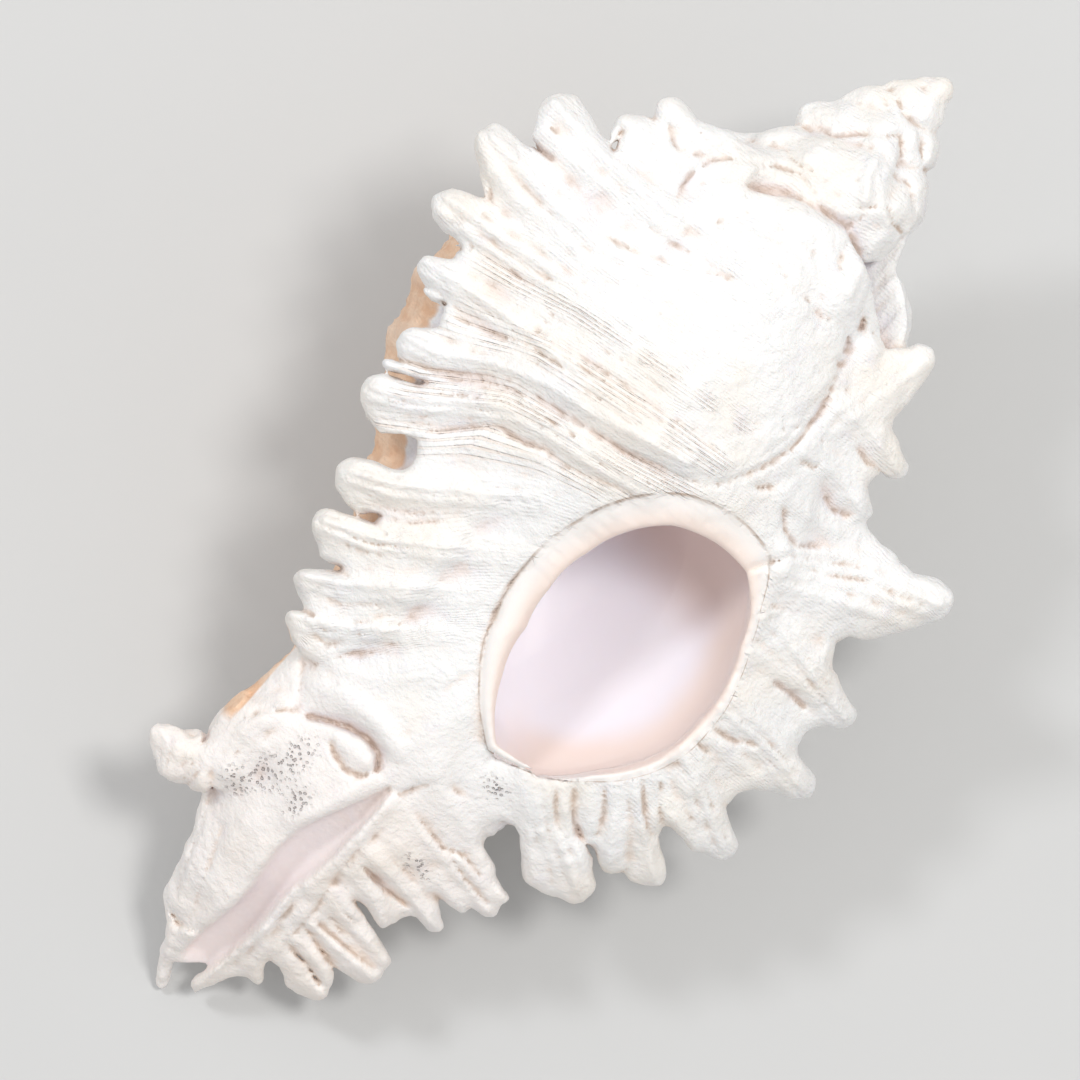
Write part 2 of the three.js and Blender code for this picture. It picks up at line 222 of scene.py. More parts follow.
def threads(y):
    """Fine spiral threads, and faint growth lines across them."""
    x = 16 * np.cos(np.radians(AZ))[:, None] + 0 * y
    front = np.clip((AZ - 205) / 15, 0, 1)[:, None]
    spiral = THREAD_HEIGHT * np.cos(2 * np.pi * across_threads(x, y + 0 * x, front) / 0.8)
    turn = np.radians(AZ)[:, None]
    growth = GROWTH_LINE_HEIGHT * np.cos(110 * turn) * np.cos(7 * turn + np.radians(40))
    return (spiral + growth) * np.clip((y - 18) / 6, 0, 1) * np.clip((APEX_Y - 2 - y) / 8, 0, 1)


RADII = wall_map()


def wall_radius(azimuth, y):
    """The wall's radius at azimuths and levels, between the cells of its map."""
    column = (azimuth / AZ_STEP) % len(AZ)
    row = np.clip((y - LEVELS[0]) / Y_STEP, 0, len(LEVELS) - 1.001)
    c0, r0 = np.floor(column).astype(int), np.floor(row).astype(int)
    c1 = (c0 + 1) % len(AZ)
    c0 %= len(AZ)
    u, v = column - np.floor(column), row - r0
    low = RADII[c0, r0] * (1 - u) + RADII[c1, r0] * u
    high = RADII[c0, r0 + 1] * (1 - u) + RADII[c1, r0 + 1] * u
    return low * (1 - v) + high * v


def lean(y):
    """How far the axis has leaned towards the left at a level."""
    return SPIRE_LEAN * np.clip(y - 76, 0, APEX_Y - y)


def on_wall(azimuth, y, out=0.0):
    """The place at an azimuth and a level that is that far out from the wall."""
    radius = wall_radius(azimuth, y) + out
    turn = np.radians(azimuth)
    return np.array([radius * np.cos(turn) + lean(y), y, -radius * np.sin(turn)])


# ---- the grid of distances
RAGGED = 0.8  # how much rougher what stands out from the wall is than the wall
WALL_SLANT = 0.85  # makes up for a wall that isn't square to its radius


class Grid:
    """Distances to a surface, negative inside, on a grid that pieces are added to and cut from."""

    def __init__(self, voxel):
        self.voxel = voxel
        counts = np.ceil((HIGH - LOW) / voxel).astype(int) + 1
        self.axes = [LOW[i] + voxel * np.arange(counts[i]) for i in range(3)]
        x, y, z = self.block((slice(None),) * 3)
        azimuth = np.degrees(np.arctan2(-z, x - lean(y))).astype(np.float32) % 360
        radius = np.hypot(x - lean(y), z).astype(np.float32)
        y = np.broadcast_to(y, azimuth.shape)
        wall = wall_radius(azimuth, y)
        self.azimuth, self.radius = azimuth, radius
        self.ragged = 1 + RAGGED * rise(1, 4, radius - wall)
        side = (radius - wall) * WALL_SLANT
        self.field = np.maximum(side, np.maximum(BASE_Y - y, y - APEX_Y)).astype(np.float32)

    def block(self, where):
        """The coordinates of a part of the grid, ready to combine."""
        x, y, z = (axis[part] for axis, part in zip(self.axes, where))
        return x[:, None, None], y[None, :, None], z[None, None, :]

    def plane(self):
        """The x and y of the grid as seen from the front, over the whole of it."""
        return np.meshgrid(self.axes[0], self.axes[1], indexing="ij")

    def near(self, low, high):
        """The part of the grid between two corners."""
        return tuple(slice(*np.searchsorted(axis, (low[i], high[i]))) for i, axis in enumerate(self.axes))

    def add(self, low, high, distance, blend):
        """Joins a piece, given by its distance, to the surface within a box."""
        where = self.near(low, high)
        self.field[where] = blend_min(self.field[where], distance(*self.block(where)), blend)

    def cut(self, low, high, distance, blend):
        """Takes a piece away from the surface within a box."""
        where = self.near(low, high)
        self.field[where] = -blend_min(-self.field[where], distance(*self.block(where)), blend)

    def press(self, relief):
        """Moves the front in by a map of depths seen from there."""
        x, y, z = self.block((slice(None),) * 3)
        facing = np.maximum(rise(192, 202, self.azimuth), rise(55, 30, self.azimuth) * (self.azimuth < 90))
        middle = by_level(CANAL_MIDDLE, 1, y) - 4.5 * rise(2, 6, x)
        over_canal = rise(-1, 1, z - middle) * rise(27, 23, y)
        share = np.maximum(facing, over_canal).astype(np.float32)
        self.field += relief.astype(np.float32)[:, :, None] * share

    def roughen(self, pitch, height, seed):
        """Moves the surface in and out by a smooth random field, most on what stands out from the wall."""
        rng = np.random.default_rng(seed)
        weights = []
        for axis in self.axes:
            cells = (axis - axis[0]) / pitch
            first = cells.astype(int)
            share = rise(0, 1, cells - first)
            matrix = np.zeros((len(axis), first[-1] + 2), np.float32)
            matrix[np.arange(len(axis)), first] = 1 - share
            matrix[np.arange(len(axis)), first + 1] = share
            weights.append(matrix)
        lattice = rng.uniform(-1, 1, [m.shape[1] for m in weights]).astype(np.float32)
        for matrix in weights:
            lattice = np.tensordot(lattice, matrix, axes=(0, 1))
        self.field += height * lattice * self.ragged


# ---- maps of the front, seen from there
def along(points, x, y):
    """How far along a run of points the nearest place on it is, from 0 to 1, and how far off that place is,
    positive to the left, for places seen from the front."""
    points = np.asarray(points, float)
    lengths = np.hypot(*np.diff(points, axis=0).T)
    travelled = np.concatenate([[0], np.cumsum(lengths)])
    best = np.full(np.broadcast(x, y).shape, np.inf)
    signed, share = np.zeros_like(best), np.zeros_like(best)
    for a, b, length, before in zip(points[:-1], points[1:], lengths, travelled):
        run = (b - a) / length
        dx, dy = x - a[0], y - a[1]
        t = np.clip(dx * run[0] + dy * run[1], 0, length)
        away = np.hypot(dx - t * run[0], dy - t * run[1])
        side = np.where(run[0] * dy - run[1] * dx < 0, -1, 1)
        closer = away < best
        best = np.where(closer, away, best)
        signed = np.where(closer, away * side, signed)
        share = np.where(closer, (before + t) / travelled[-1], share)
    return share, signed


def from_outline(outline, x, y):
    """Distance outside a closed outline, negative inside it."""
    closed = np.array(outline + outline[:1], float)
    off = along(closed, x, y)[1]
    inside = np.zeros(off.shape, bool)
    for (x0, y0), (x1, y1) in zip(closed[:-1], closed[1:]):
        crosses = (y0 > y) != (y1 > y)
        if y0 != y1:
            inside ^= crosses & (x < x0 + (y - y0) / (y1 - y0) * (x1 - x0))
    return np.where(inside, -abs(off), abs(off))


class FrontMap:
    """Depths pressed into the front."""

    def __init__(self, grid):
        self.x, self.y = grid.plane()
        self.depth = np.zeros_like(self.x)

    def groove(self, points, depth, width, lines=1, gap=0.0):
        """A line pressed in, steep on its right side, repeated beside itself, fading at both ends."""
        share, off = along(points, self.x, self.y)
        fade = 0.35 + 0.65 * np.sqrt(np.clip(4 * share * (1 - share), 0, 1))
        for k in range(lines):
            away = off - k * gap
            left = np.exp(-np.maximum(away, 0) / (1.3 * width))
            self.depth += depth * fade * np.where(away > 0, left, bump(away, 0.6 * width))

    def ridge(self, points, start, end, width, folds=0):
        """A rounded ridge from one height to another along its run, with fine folds side by side."""
        share, off = along(points, self.x, self.y)
        height = start + (end - start) * share
        across = off / width
        shape = np.clip(1 - 0.5 * across**2, 0, 1) ** 2
        shape = shape * (1 + 0.22 * np.cos(np.pi * folds * across + 1.3) * (folds > 0))
        self.depth -= height * shape


def add_plate(grid, outline, top, thick, blend, edge=0.8):
    """A plate with that outline as seen from the front, under a map of its upper side's height."""
    x, y = grid.plane()
    points = np.array(outline)
    low, high = points.min(0) - 2, points.max(0) + 2
    where = grid.near((*low, LOW[2]), (*high, HIGH[2]))
    flat = where[:2]
    out = from_outline(outline, x[flat], y[flat])[:, :, None]
    top, thick = top[flat][:, :, None], thick[flat][:, :, None]

    def distance(_x, _y, z):
        soft = np.minimum(edge, 0.42 * thick)
        flat_out = out + soft
        up = abs(z - top + thick / 2) * 0.8 - thick / 2 + soft
        outer = np.hypot(np.maximum(flat_out, 0), np.maximum(up, 0))
        return outer + np.minimum(np.maximum(flat_out, up), 0) - soft

    grid.add((*low, LOW[2]), (*high, HIGH[2]), distance, blend)


def sweep_distance(stations, folds=0, fold_depth=0.0, groove=0.0, across=(0, 1, 0), wave=0.0):
    """A distance to a flattened finger through stations: x, y, z, half width and half thickness.

    It can have folds along it, a groove down its upper side and a width that comes and goes.
    """
    stations = np.asarray(stations, float)
    across = np.asarray(across, float)

    def distance(x, y, z):
        best = None
        for a, b in zip(stations[:-1], stations[1:]):
            run = b[:3] - a[:3]
            length = np.linalg.norm(run)
            run /= length
            thin = np.cross(run, across)
            thin /= np.linalg.norm(thin)
            if thin[2] < 0:
                thin = -thin
            broad = np.cross(thin, run)
            dx, dy, dz = x - a[0], y - a[1], z - a[2]
            s = dx * run[0] + dy * run[1] + dz * run[2]
            t = dx * broad[0] + dy * broad[1] + dz * broad[2]
            n = dx * thin[0] + dy * thin[1] + dz * thin[2]
            share = np.clip(s / length, 0, 1)
            over = s - share * length
            wide = a[3] + (b[3] - a[3]) * share
            thick = a[4] + (b[4] - a[4]) * share
            if wave:
                wide = wide * (1 + wave * np.sin(2.9 * s + 1.7 * a[0]))
            small = np.minimum(wide, thick)
            q = np.sqrt((t / wide) ** 2 + (n / thick) ** 2 + (over / small) ** 2)
            k = np.sqrt((t / wide**2) ** 2 + (n / thick**2) ** 2 + (over / small**2) ** 2)
            d = q * (q - 1) / np.maximum(k, 1e-6)
            top = np.clip(n / thick, 0, 1)
            if folds:
                d = d - fold_depth * np.cos(np.pi * folds * t / wide) * np.clip(1.2 - abs(t / wide), 0, 1)
            if groove:
                d = d + groove * top * bump(t, 0.4 * wide)
            best = d if best is None else np.minimum(best, d)
        return best

    return distance


def add_sweep(grid, stations, blend, **shape):
    """Joins a flattened finger to the surface."""
    stations = np.asarray(stations, float)
    reach = stations[:, 3:].max(1)[:, None] + blend + 1.0
    low = (stations[:, :3] - reach).min(0)
    high = (stations[:, :3] + reach).max(0)
    grid.add(low, high, sweep_distance(stations, **shape), blend)


def add_furrows(grid, ridges, under):
    """Cuts a furrow along the underside of each larger ridge's end, open at its tip.

    under is a map of that side's height.
    """
    for points, _start, _end, width, *_folds in ridges:
        if width < 1:
            continue
        root, tip = np.array(points[-2]), np.array(points[-1])
        stations = []
        for share in (0.1, 0.6, 1.25):
            x, y = root + share * (tip - root)
            level = under[np.searchsorted(grid.axes[0], x), np.searchsorted(grid.axes[1], y)]
            stations.append((x, y, level - 0.1, 0.2 + 0.35 * share * width, 0.4 + 0.4 * share))
        low, high = np.array(stations)[:, :3].min(0) - 2, np.array(stations)[:, :3].max(0) + 2
        grid.cut(low, high, sweep_distance(stations), 0.3)


# ---- the outer lip and its fronds
# Where the lip leaves the wall.
LIP_INNER = (
    (8, 76), (8.5, 73), (9, 68), (9.6, 64), (11.5, 60), (15.5, 56), (17.2, 51), (17.4, 45), (16.6, 40.5),
    (13.6, 36.6), (9.5, 33.6), (6, 30), (4, 26), (3.2, 22), (2.8, 17), (3.1, 12), (2.7, 8), (2, 4),
    (1.5, 2.3),
)
# The fronds' outline, from the apex's side round to the canal's tip.
LIP_OUTLINE = [
    (6, 75), (9.9, 76), (10.4, 76.7), (11.2, 77.1), (11.7, 77.8), (12.5, 78), (13.2, 77.4), (13.7, 76),
    (14, 74.4), (14, 72.4), (14.4, 71.8), (15.3, 71.4), (16, 70.7), (16.8, 70.2), (17.1, 69.5),
    (16.6, 68.8), (15.8, 68.2), (15.7, 67.2), (16.4, 66.3), (17.1, 65.6), (17, 64.9), (17.8, 64.6),
    (19.5, 64.4), (20.9, 64.5), (21.6, 63.8), (22.2, 64.1), (23.1, 63.9), (24.2, 64.8), (24.9, 65.1),
    (26, 64.8), (26.6, 63.8), (26.2, 62.4), (25.5, 61.2), (24.6, 60.2), (24, 59), (23.3, 58.2),
    (22.3, 57.5), (21.9, 56.5), (22.4, 55.4), (23, 54.4), (23.8, 54.4), (24.6, 53.5), (25.7, 53.2),
    (26.5, 53), (26.6, 52.3), (26, 51.3), (25.3, 50.3), (24.9, 49.3), (24.7, 48.3), (25.3, 47.6),
    (26.3, 47.2), (27.4, 47), (27.7, 46.3), (27.2, 45.2), (26, 44.4), (24.8, 43.6), (24.1, 42.6),
    (23.9, 41.6), (23.6, 41.2), (24.4, 40.5), (25.2, 39.9), (26.3, 39.1), (26.3, 38.3), (25.3, 37.6),
    (24.3, 37), (23.5, 37.2), (22.5, 37.4), (21.6, 37.2), (21.4, 36.4), (21, 36), (21.8, 35.3),
    (22.8, 34.6), (23.4, 34.1), (23.9, 33.2), (22.8, 32.2), (22.2, 31.9), (21.3, 32.3), (20.1, 31.5),
    (19, 32), (17.4, 32.3), (16.2, 32.5), (16.4, 31.8), (17.5, 31.4), (18.4, 31), (19, 30.2), (19.8, 29.4),
    (19.9, 28.6), (19.6, 27.8), (18.4, 27.1), (16.8, 26.8), (16, 26.6), (15, 27.2), (14, 28.1), (13.2, 29),
    (12.4, 29.2), (11.4, 28.9), (10.6, 28.2), (10.4, 27.3), (10.8, 26.5), (11.3, 26.1), (12, 25.9),
    (13.5, 25.5), (14.3, 25), (15, 24.5), (15.8, 24.3), (15.6, 23.7), (15.7, 22.7), (15.2, 22.2), (14, 22),
    (13.9, 21.3), (12.8, 21), (12.2, 21.2), (11.3, 21), (12.4, 20.1), (12.6, 19.3), (13.2, 19),
    (12.6, 18.6), (11.2, 18.8), (10.9, 18.2), (10.3, 17.4), (9.5, 17), (9.8, 16.3), (8.8, 16.6),
    (7.9, 16.8), (7, 16.4), (7.8, 16), (8.8, 15.6), (9.8, 15.3), (10.8, 14.8), (12, 14.3), (12.2, 13.4),
    (12, 12.2), (11.4, 11.5), (10.3, 11.3), (9.5, 10.9), (9.1, 10.3), (9.8, 9.6), (10, 8.8), (9.6, 8),
    (8.6, 7.6), (7.2, 7.1), (6.6, 7.6), (5.8, 8), (4.7, 8), (4.6, 7.4), (5, 6.9), (5.3, 6.1), (4.6, 5.8),
    (3.8, 5.2), (3, 4), (2.3, 2.9), (2, 2), (1.5, 2.2), (1.4, 3), (1.9, 4.5), (2.2, 7), (2.5, 9.5),
    (2.5, 12.5), (2.3, 15), (2.4, 19), (2.8, 23), (3.4, 27), (6, 33), (12, 38), (15, 43), (15.4, 50),
    (13, 56), (8, 61), (6, 67),
]
# A smooth line outside the fronds' tips.
LIP_TIPS = (
    (11, 79.5), (14.5, 77), (18, 70), (20, 66.5), (27.5, 65), (28, 58), (27.8, 52), (28.5, 46), (27.4, 38),
    (24.8, 32), (21, 27.5), (17, 22.5), (14.2, 18.5), (13.2, 12), (11, 8), (6, 5.4), (2, 1.2),
)
# The plate by level: y, the height of its upper side at the inner line and at the tips, its thickness at
# the inner line.
LIP_LEVELS = (
    (80, 5, 3.5, 3), (74, 6.4, 2.5, 4), (68, 7, 1, 5), (63, 6.4, -2.5, 5), (58, 5.2, -4, 5),
    (52, 4, -4.8, 5), (46, 3.8, -5.2, 5), (40, 3.8, -5.2, 5), (34, 4, -4.8, 4.6), (30, 3.6, -4.4, 4.4),
    (25, 2.9, -4.2, 4), (20, 1.7, -5, 3.6), (15, -0.6, -6.8, 3.2), (10, -3.6, -9, 2.6), (5, -8, -11.6, 1.8),
    (2, -11.8, -12.6, 1.1),
)
TIP_THICKNESS = 1.5
# Ridges out to the tips: their runs, their height at each end, half width, and folds where they have any.
LIP_RIDGES = (
    (((11, 69), (12, 74), (12.7, 77.4)), 0.3, 0.5, 1.5, 2),
    (((10, 70.4), (13, 70.6), (16.8, 69.8)), 0.3, 0.7, 1, 2),
    (((10.4, 66), (13, 66.4), (16.8, 65.6)), 0.3, 0.7, 1.1, 2),
    (((11.5, 62.6), (14, 62.6), (16.2, 63)), 0.3, 0.4, 0.9, 1),
    (((15, 59), (20, 62.2), (26, 64.2)), 0.5, 0.9, 1.7, 3),
    (((16, 57.4), (20, 59.4), (24.6, 61.2)), 0.5, 0.5, 1.5, 2),
    (((17.4, 54.6), (22, 53.6), (26.4, 52.7)), 0.4, 1.1, 1.5, 3),
    (((17.6, 51.8), (21, 51.9), (23.6, 52)), 0.2, 0.5, 0.6),
    (((18, 48.6), (22, 48.4), (24.4, 48.6)), 0.4, 0.3, 1, 2),
    (((18, 46.9), (23, 47), (27.5, 46.4)), 0.4, 1.1, 1.5, 3),
    (((18.2, 44.3), (21, 44.4), (25, 44.4)), 0.3, 0.3, 0.7),
    (((18, 42.6), (22, 40.8), (26, 38.8)), 0.4, 1.1, 1.5, 3),
    (((17.4, 39.8), (20, 38.2), (24.2, 37.4)), 0.4, 0.6, 0.9, 2),
    (((16.6, 38.6), (20, 36), (23.6, 33.4)), 0.4, 0.9, 1.1, 2),
    (((15.4, 37.4), (18, 34.8), (20.1, 32)), 0.4, 0.8, 1, 2),
    (((13.6, 36), (15.6, 34.2), (16.8, 33.2)), 0.3, 0.4, 0.8),
    (((11.6, 34), (15, 31.4), (19.4, 28.9)), 0.4, 1, 1.7, 3),
    (((10, 33), (13, 30.6), (16.2, 27.4)), 0.3, 0.6, 1, 2),
    (((6.4, 27.4), (10, 26.6), (13, 25.6)), 0.3, 0.4, 0.9),
    (((6.8, 26), (11, 24.6), (15.5, 24.2)), 0.2, 0.6, 0.7),
    (((6.8, 24.2), (11, 23.6), (15.4, 22.8)), 0.2, 0.7, 0.9, 2),
    (((7, 22), (11, 21.8), (13.6, 21.5)), 0.2, 0.4, 0.8),
    (((4.6, 20.4), (9, 19.8), (12.9, 19.1)), 0.3, 0.8, 0.8, 2),
    (((4.8, 18), (7.5, 17.8), (9.7, 16.8)), 0.3, 0.7, 0.9, 2),
    (((5, 15.6), (8, 15.2), (11.8, 14.2)), 0.3, 0.7, 0.8),
    (((4.6, 12.8), (8, 12.6), (11.9, 12.6)), 0.3, 0.9, 0.9, 2),
    (((5, 10.8), (7.6, 10.6), (9.4, 10)), 0.3, 0.6, 0.6),
    (((5, 9.4), (7.6, 8.4), (9.6, 8.6)), 0.3, 0.7, 0.7),
    (((3, 9.6), (4.2, 7.6), (5.1, 6.3)), 0.2, 0.5, 0.7),
    (((2.4, 13.8), (2.9, 10.4), (2.2, 6.2), (1.8, 2.6)), 0.6, 0.4, 0.5),
    (((3.6, 24.4), (3.4, 20), (3.4, 15)), 0.5, 0.4, 0.8),
)
# Ridges of the canal's left half and of the wall beside it.
CANAL_RIDGES = (
    (((-1.4, 14.8), (-0.7, 11), (-1, 8), (-1.6, 5.4)), 0.2, 0.5, 0.7),
    (((-5.6, 13), (-4.6, 10), (-3.4, 7)), 0.3, 0.5, 0.9, 2),
    (((-3.2, 16), (-3.4, 13), (-3, 10)), 0.2, 0.2, 1.2, 1),
    (((-2.6, 4.8), (-1.7, 2.8), (-0.6, 0.8)), 0.3, 0.2, 0.5),
    (((1.2, 23.6), (0.4, 20.6), (-1, 18)), 0.4, 0.4, 0.8, 1),
    (((-7.6, 24.4), (-8.4, 21), (-7.6, 18)), 0.5, 0.4, 1, 2),
    (((-6.8, 27.6), (-4.4, 28.2), (-1.6, 28.6), (1.6, 28)), 0.3, 0.5, 1),
    (((-3, 25.4), (-1, 25.6), (0.6, 25.4)), 0.3, 0.3, 0.7),
    (((3, 33), (3.4, 30), (5, 28.4)), 0.3, 0.4, 1.5),
    (((-6, 29.8), (-3, 31.4), (0, 34.4)), 0.2, 0.2, 1, 2),
)


def add_lip(grid):
    """The outer lip: a plate with the fronds' outline, lower and thinner towards their tips."""
    x, y = grid.plane()
    near_in = abs(along(LIP_INNER, x, y)[1])
    near_out = abs(along(LIP_TIPS, x, y)[1])
    share = near_in / (near_in + near_out)
    inner, outer, thick = (by_level(LIP_LEVELS, column, y) for column in (1, 2, 3))
    top = inner + (outer - inner) * share**1.5
    thick = thick + (TIP_THICKNESS - thick) * np.sqrt(share)
    add_plate(grid, LIP_OUTLINE, top, thick, blend=0.7)
    add_furrows(grid, LIP_RIDGES, top - thick)


# ---- the left rib and its spines
LEFT_OUTLINE = [
    (-6, 81), (-9.5, 80.6), (-12.6, 79.5), (-14.8, 79.8), (-15.3, 79), (-15.1, 77.9), (-14.8, 77.4),
    (-15.6, 77.2), (-16.8, 76.3), (-17, 75.6), (-16.6, 74.5), (-16, 73.6), (-17.5, 73.9), (-18.4, 74.4),
    (-19.6, 74.8), (-20.8, 75), (-21.6, 74.2), (-21.9, 73), (-21.5, 72), (-21.3, 70.5), (-20.5, 69.8),
    (-19.8, 69.3), (-22.5, 69.2), (-23.7, 68.9), (-23.9, 67.9), (-23, 66.6), (-21.8, 65.6), (-20.5, 64.4),
    (-21.5, 63.7), (-23, 63.1), (-23.4, 62.3), (-22.8, 60.9), (-21.4, 60.6), (-20, 60.3), (-19.4, 59.5),
    (-20.6, 58.6), (-21.4, 58), (-21, 57.1), (-19.9, 55.9), (-19, 55.7), (-18.1, 56), (-17.3, 54.9),
    (-18.1, 54.3), (-18.9, 53.5), (-18.6, 52.4), (-18.2, 51), (-17, 50.9), (-18.7, 50.1), (-18, 49.9),
    (-16.6, 50.6), (-15.2, 51.1), (-15.4, 50.3), (-17.9, 49.2), (-18.3, 48.1), (-17.8, 46.9), (-17, 46.2),
    (-15.4, 45.8), (-14.2, 46.8), (-12.8, 47.4), (-12, 46.4), (-11.8, 45.2), (-12.1, 44.3), (-13, 43.7),
    (-14.4, 43.4), (-15.2, 42.6), (-15.5, 41.6), (-15.1, 40.5), (-13.8, 39.9), (-12.8, 40), (-11.4, 40.7),
    (-11, 40), (-12.5, 39.3), (-14.2, 38.6), (-14.6, 37.8), (-14.3, 36.6), (-13.4, 35.6), (-12.8, 35.2),
    (-12, 35.4), (-11, 35.9), (-10.4, 35.6), (-12, 34.4), (-13, 33.7), (-13.1, 33), (-12.2, 32),
    (-11.2, 31.7), (-10.2, 31.5), (-11, 30.9), (-11.7, 30.4), (-11, 29.5), (-10.3, 28.9), (-9, 28.3),
    (-7, 29), (-5, 34), (-5, 42), (-6, 52), (-8, 60), (-8, 74),
]
# The rib's upper side at the tips: y and height.
LEFT_LEVELS = (
    (81, 7), (79, 7.6), (75.6, 8.8), (73, 10.6), (68, 11.4), (62.4, 11.4), (57.5, 11), (52.4, 10.4),
    (47.4, 9.8), (41.3, 8.6), (37.3, 7.6), (32.9, 6.2), (29, 4.6),
)
LEFT_THICKNESS = 2.3
# Ridges from the wall out to the spines' tips, in the same columns as the lip's.
LEFT_RIDGES = (
    (((-6, 79.6), (-11, 79.2), (-15, 79)), 0.2, 0.6, 1, 2),
    (((-7, 77), (-12, 76.4), (-16.6, 75.7)), 0.3, 0.7, 1.5, 2),
    (((2, 75), (-5, 73.6), (-11, 72.6), (-16, 72.4), (-21.4, 73.2)), 0.1, 0.9, 2, 2),
    (((-15, 70.6), (-18, 70.9), (-21, 71)), 0.1, 0.5, 0.7),
    (((3, 70), (-5, 69.4), (-12, 67), (-18, 67.4), (-23.4, 68.2)), 0.1, 0.9, 2.2, 3),
    (((-14, 65), (-18, 65.4), (-21.6, 66)), 0.1, 0.5, 0.9, 1),
    (((2, 65), (-6, 64.2), (-12, 63.6), (-18, 62.8), (-23, 62.4)), 0.1, 0.8, 1.9, 3),
    (((-12, 60.6), (-16, 60.6), (-19.6, 59.8)), 0.2, 0.3, 0.7),
    (((6, 60.8), (-2, 59), (-8, 58.8), (-14, 58.6), (-21, 57.8)), 0.5, 0.8, 1.1, 2),
    (((-6, 57.6), (-12, 56.8), (-16.6, 55.2)), 0.4, 0.3, 0.7),
    (((4, 59), (-2, 57.6), (-8, 56.6), (-12.4, 55.2), (-16, 53), (-18.7, 52.4)), 0.6, 0.8, 1, 2),
    (((-11, 53.4), (-14, 51.8), (-18.5, 50.1)), 0.2, 0.3, 0.4),
    (((3, 55.8), (-3, 54.8), (-8, 54), (-11.6, 51.8), (-15, 49.2), (-18, 47.8)), 0.5, 0.9, 1.3, 3),
    (((-5, 52), (-8.6, 50.2), (-11.6, 47.6)), 0.3, 0.2, 0.8, 1),
    (((-3, 49.6), (-8, 46), (-11.6, 43.4), (-15.2, 41.8)), 0.3, 0.9, 1.4, 3),
    (((-2, 45), (-6, 42), (-10.4, 39), (-14.3, 37.6)), 0.3, 0.9, 1.3, 3),
    (((-2, 41), (-6, 37.8), (-9.6, 35), (-12.8, 33.2)), 0.3, 0.8, 1.1, 2),
    (((-2, 37), (-5, 34.4), (-8, 32), (-11.4, 30.4)), 0.3, 0.7, 0.9, 2),
)


def add_left_rib(grid):
    """The left rib: a plate with the spines' outline."""
    x, y = grid.plane()
    top = by_level(LEFT_LEVELS, 1, y) + 0.3
    add_plate(grid, LEFT_OUTLINE, top, np.full_like(x, LEFT_THICKNESS), blend=1.2)
    add_furrows(grid, LEFT_RIDGES, top - LEFT_THICKNESS)


# ---- the back
# Spines of the back rib: root y, tip x, y, z, half width.
BACK_SPINES = (
    (73, -4.4, 74.4, -18.4, 1.4), (69, -6.4, 69.6, -22.4, 1.7), (64.5, -8, 64.6, -25.1, 1.9),
    (59.5, -8.6, 59, -23.6, 1.8), (54.5, -8.8, 53.4, -21.8, 1.6), (49.5, -8.4, 47.8, -21.4, 1.8),
    (44.5, -8, 42.2, -19.6, 1.6), (39.5, -7.4, 36.6, -17.8, 1.6), (34.5, -6.8, 31.2, -16.2, 1.5),
    (29.5, -6, 26, -14.8, 1.4), (24.5, -5.4, 21, -14, 1.3), (19.5, -4.6, 16.4, -13.6, 1.1),
)
BACK_AZIMUTH = 100.0
# Two knobs between that rib and the lip, one to the rib's left, and three beside the apex: azimuth, y,
# height over the wall, half width.
KNOBS = (
    (66, 57, 1.5, 5.2), (48, 63, 1.6, 3.8), (160, 66, 1.2, 3.4), (185, 93.1, 0.1, 0.8),
    (185, 91.6, 0.9, 1.3), (185, 88.6, 0.7, 1.5),
)


def add_back_spine(grid, y, x1, y1, z1, wide):
    """A spine of the back rib, from the wall to its tip at x1, y1, z1."""
    foot = on_wall(BACK_AZIMUTH + 16, y, -0.7 * wide) + np.array([0, 0.6, 0])
    root = on_wall(BACK_AZIMUTH, y, -1.2 * wide)
    tip = np.array([x1, y1, z1])
    bend = root + 0.5 * (tip - root) + np.array([0, 0.5, 0])
    neck = root + 0.8 * (tip - root)
    sizes = ((foot, 0.8, 0.7), (root, 1.1, 1), (bend, 1, 0.75), (neck, 0.85, 0.6), (tip, 0.45, 0.4))
    stations = [(*place, wide * broad, wide * thick) for place, broad, thick in sizes]
    add_sweep(grid, stations, blend=0.6, folds=3, fold_depth=0.17, groove=0.3, wave=0.08)


def add_back_rib(grid):
    """The rib down the back: its spines, smaller ones between them, and the web that joins them."""
    for row in BACK_SPINES:
        add_back_spine(grid, *row)
    for above, below in zip(BACK_SPINES[:-1], BACK_SPINES[1:]):
        y, x1, y1, z1, wide = (np.array(above) + np.array(below)) / 2
        root = on_wall(BACK_AZIMUTH + 4, y)
        short = root + 0.45 * (np.array([x1, y1, z1]) - root)
        add_back_spine(grid, y, *short, 0.5 * wide)
    web = [(*on_wall(BACK_AZIMUTH + 3, y, 0.1 - bump(y - 54, 8)), 2.2, 1.3) for y in range(78, 17, -6)]
    add_sweep(grid, web, blend=1.2, folds=2, fold_depth=0.15, across=(-0.2, 0, -1), wave=0.14)


def add_knob(grid, azimuth, y, height, wide):
    """A round knob that stands that high over the wall."""
    rows = ((-wide, 1.1), (-0.1 * wide, 0.85), (0.75 * height, 0.5), (height, 0.2))
    stations = [(*on_wall(azimuth, y, out), wide * size, wide * size * 0.8) for out, size in rows]
    add_sweep(grid, stations, blend=np.clip(0.5 * wide, 1.5, 2.6))


def add_spire_knobs(grid):
    """Knobs round each whorl of the spire's back and sides."""
    for whorl in (1, 2, 3):
        for azimuth in range(31, 200, 26):
            size = through(SUTURE_DEPTH, (azimuth - LIP_AZIMUTH) % 360) * WHORL_GROWTH ** (1 - whorl)
            add_knob(grid, azimuth, APEX_Y - 1.48 * size, 0.1 * size, 0.2 * size)


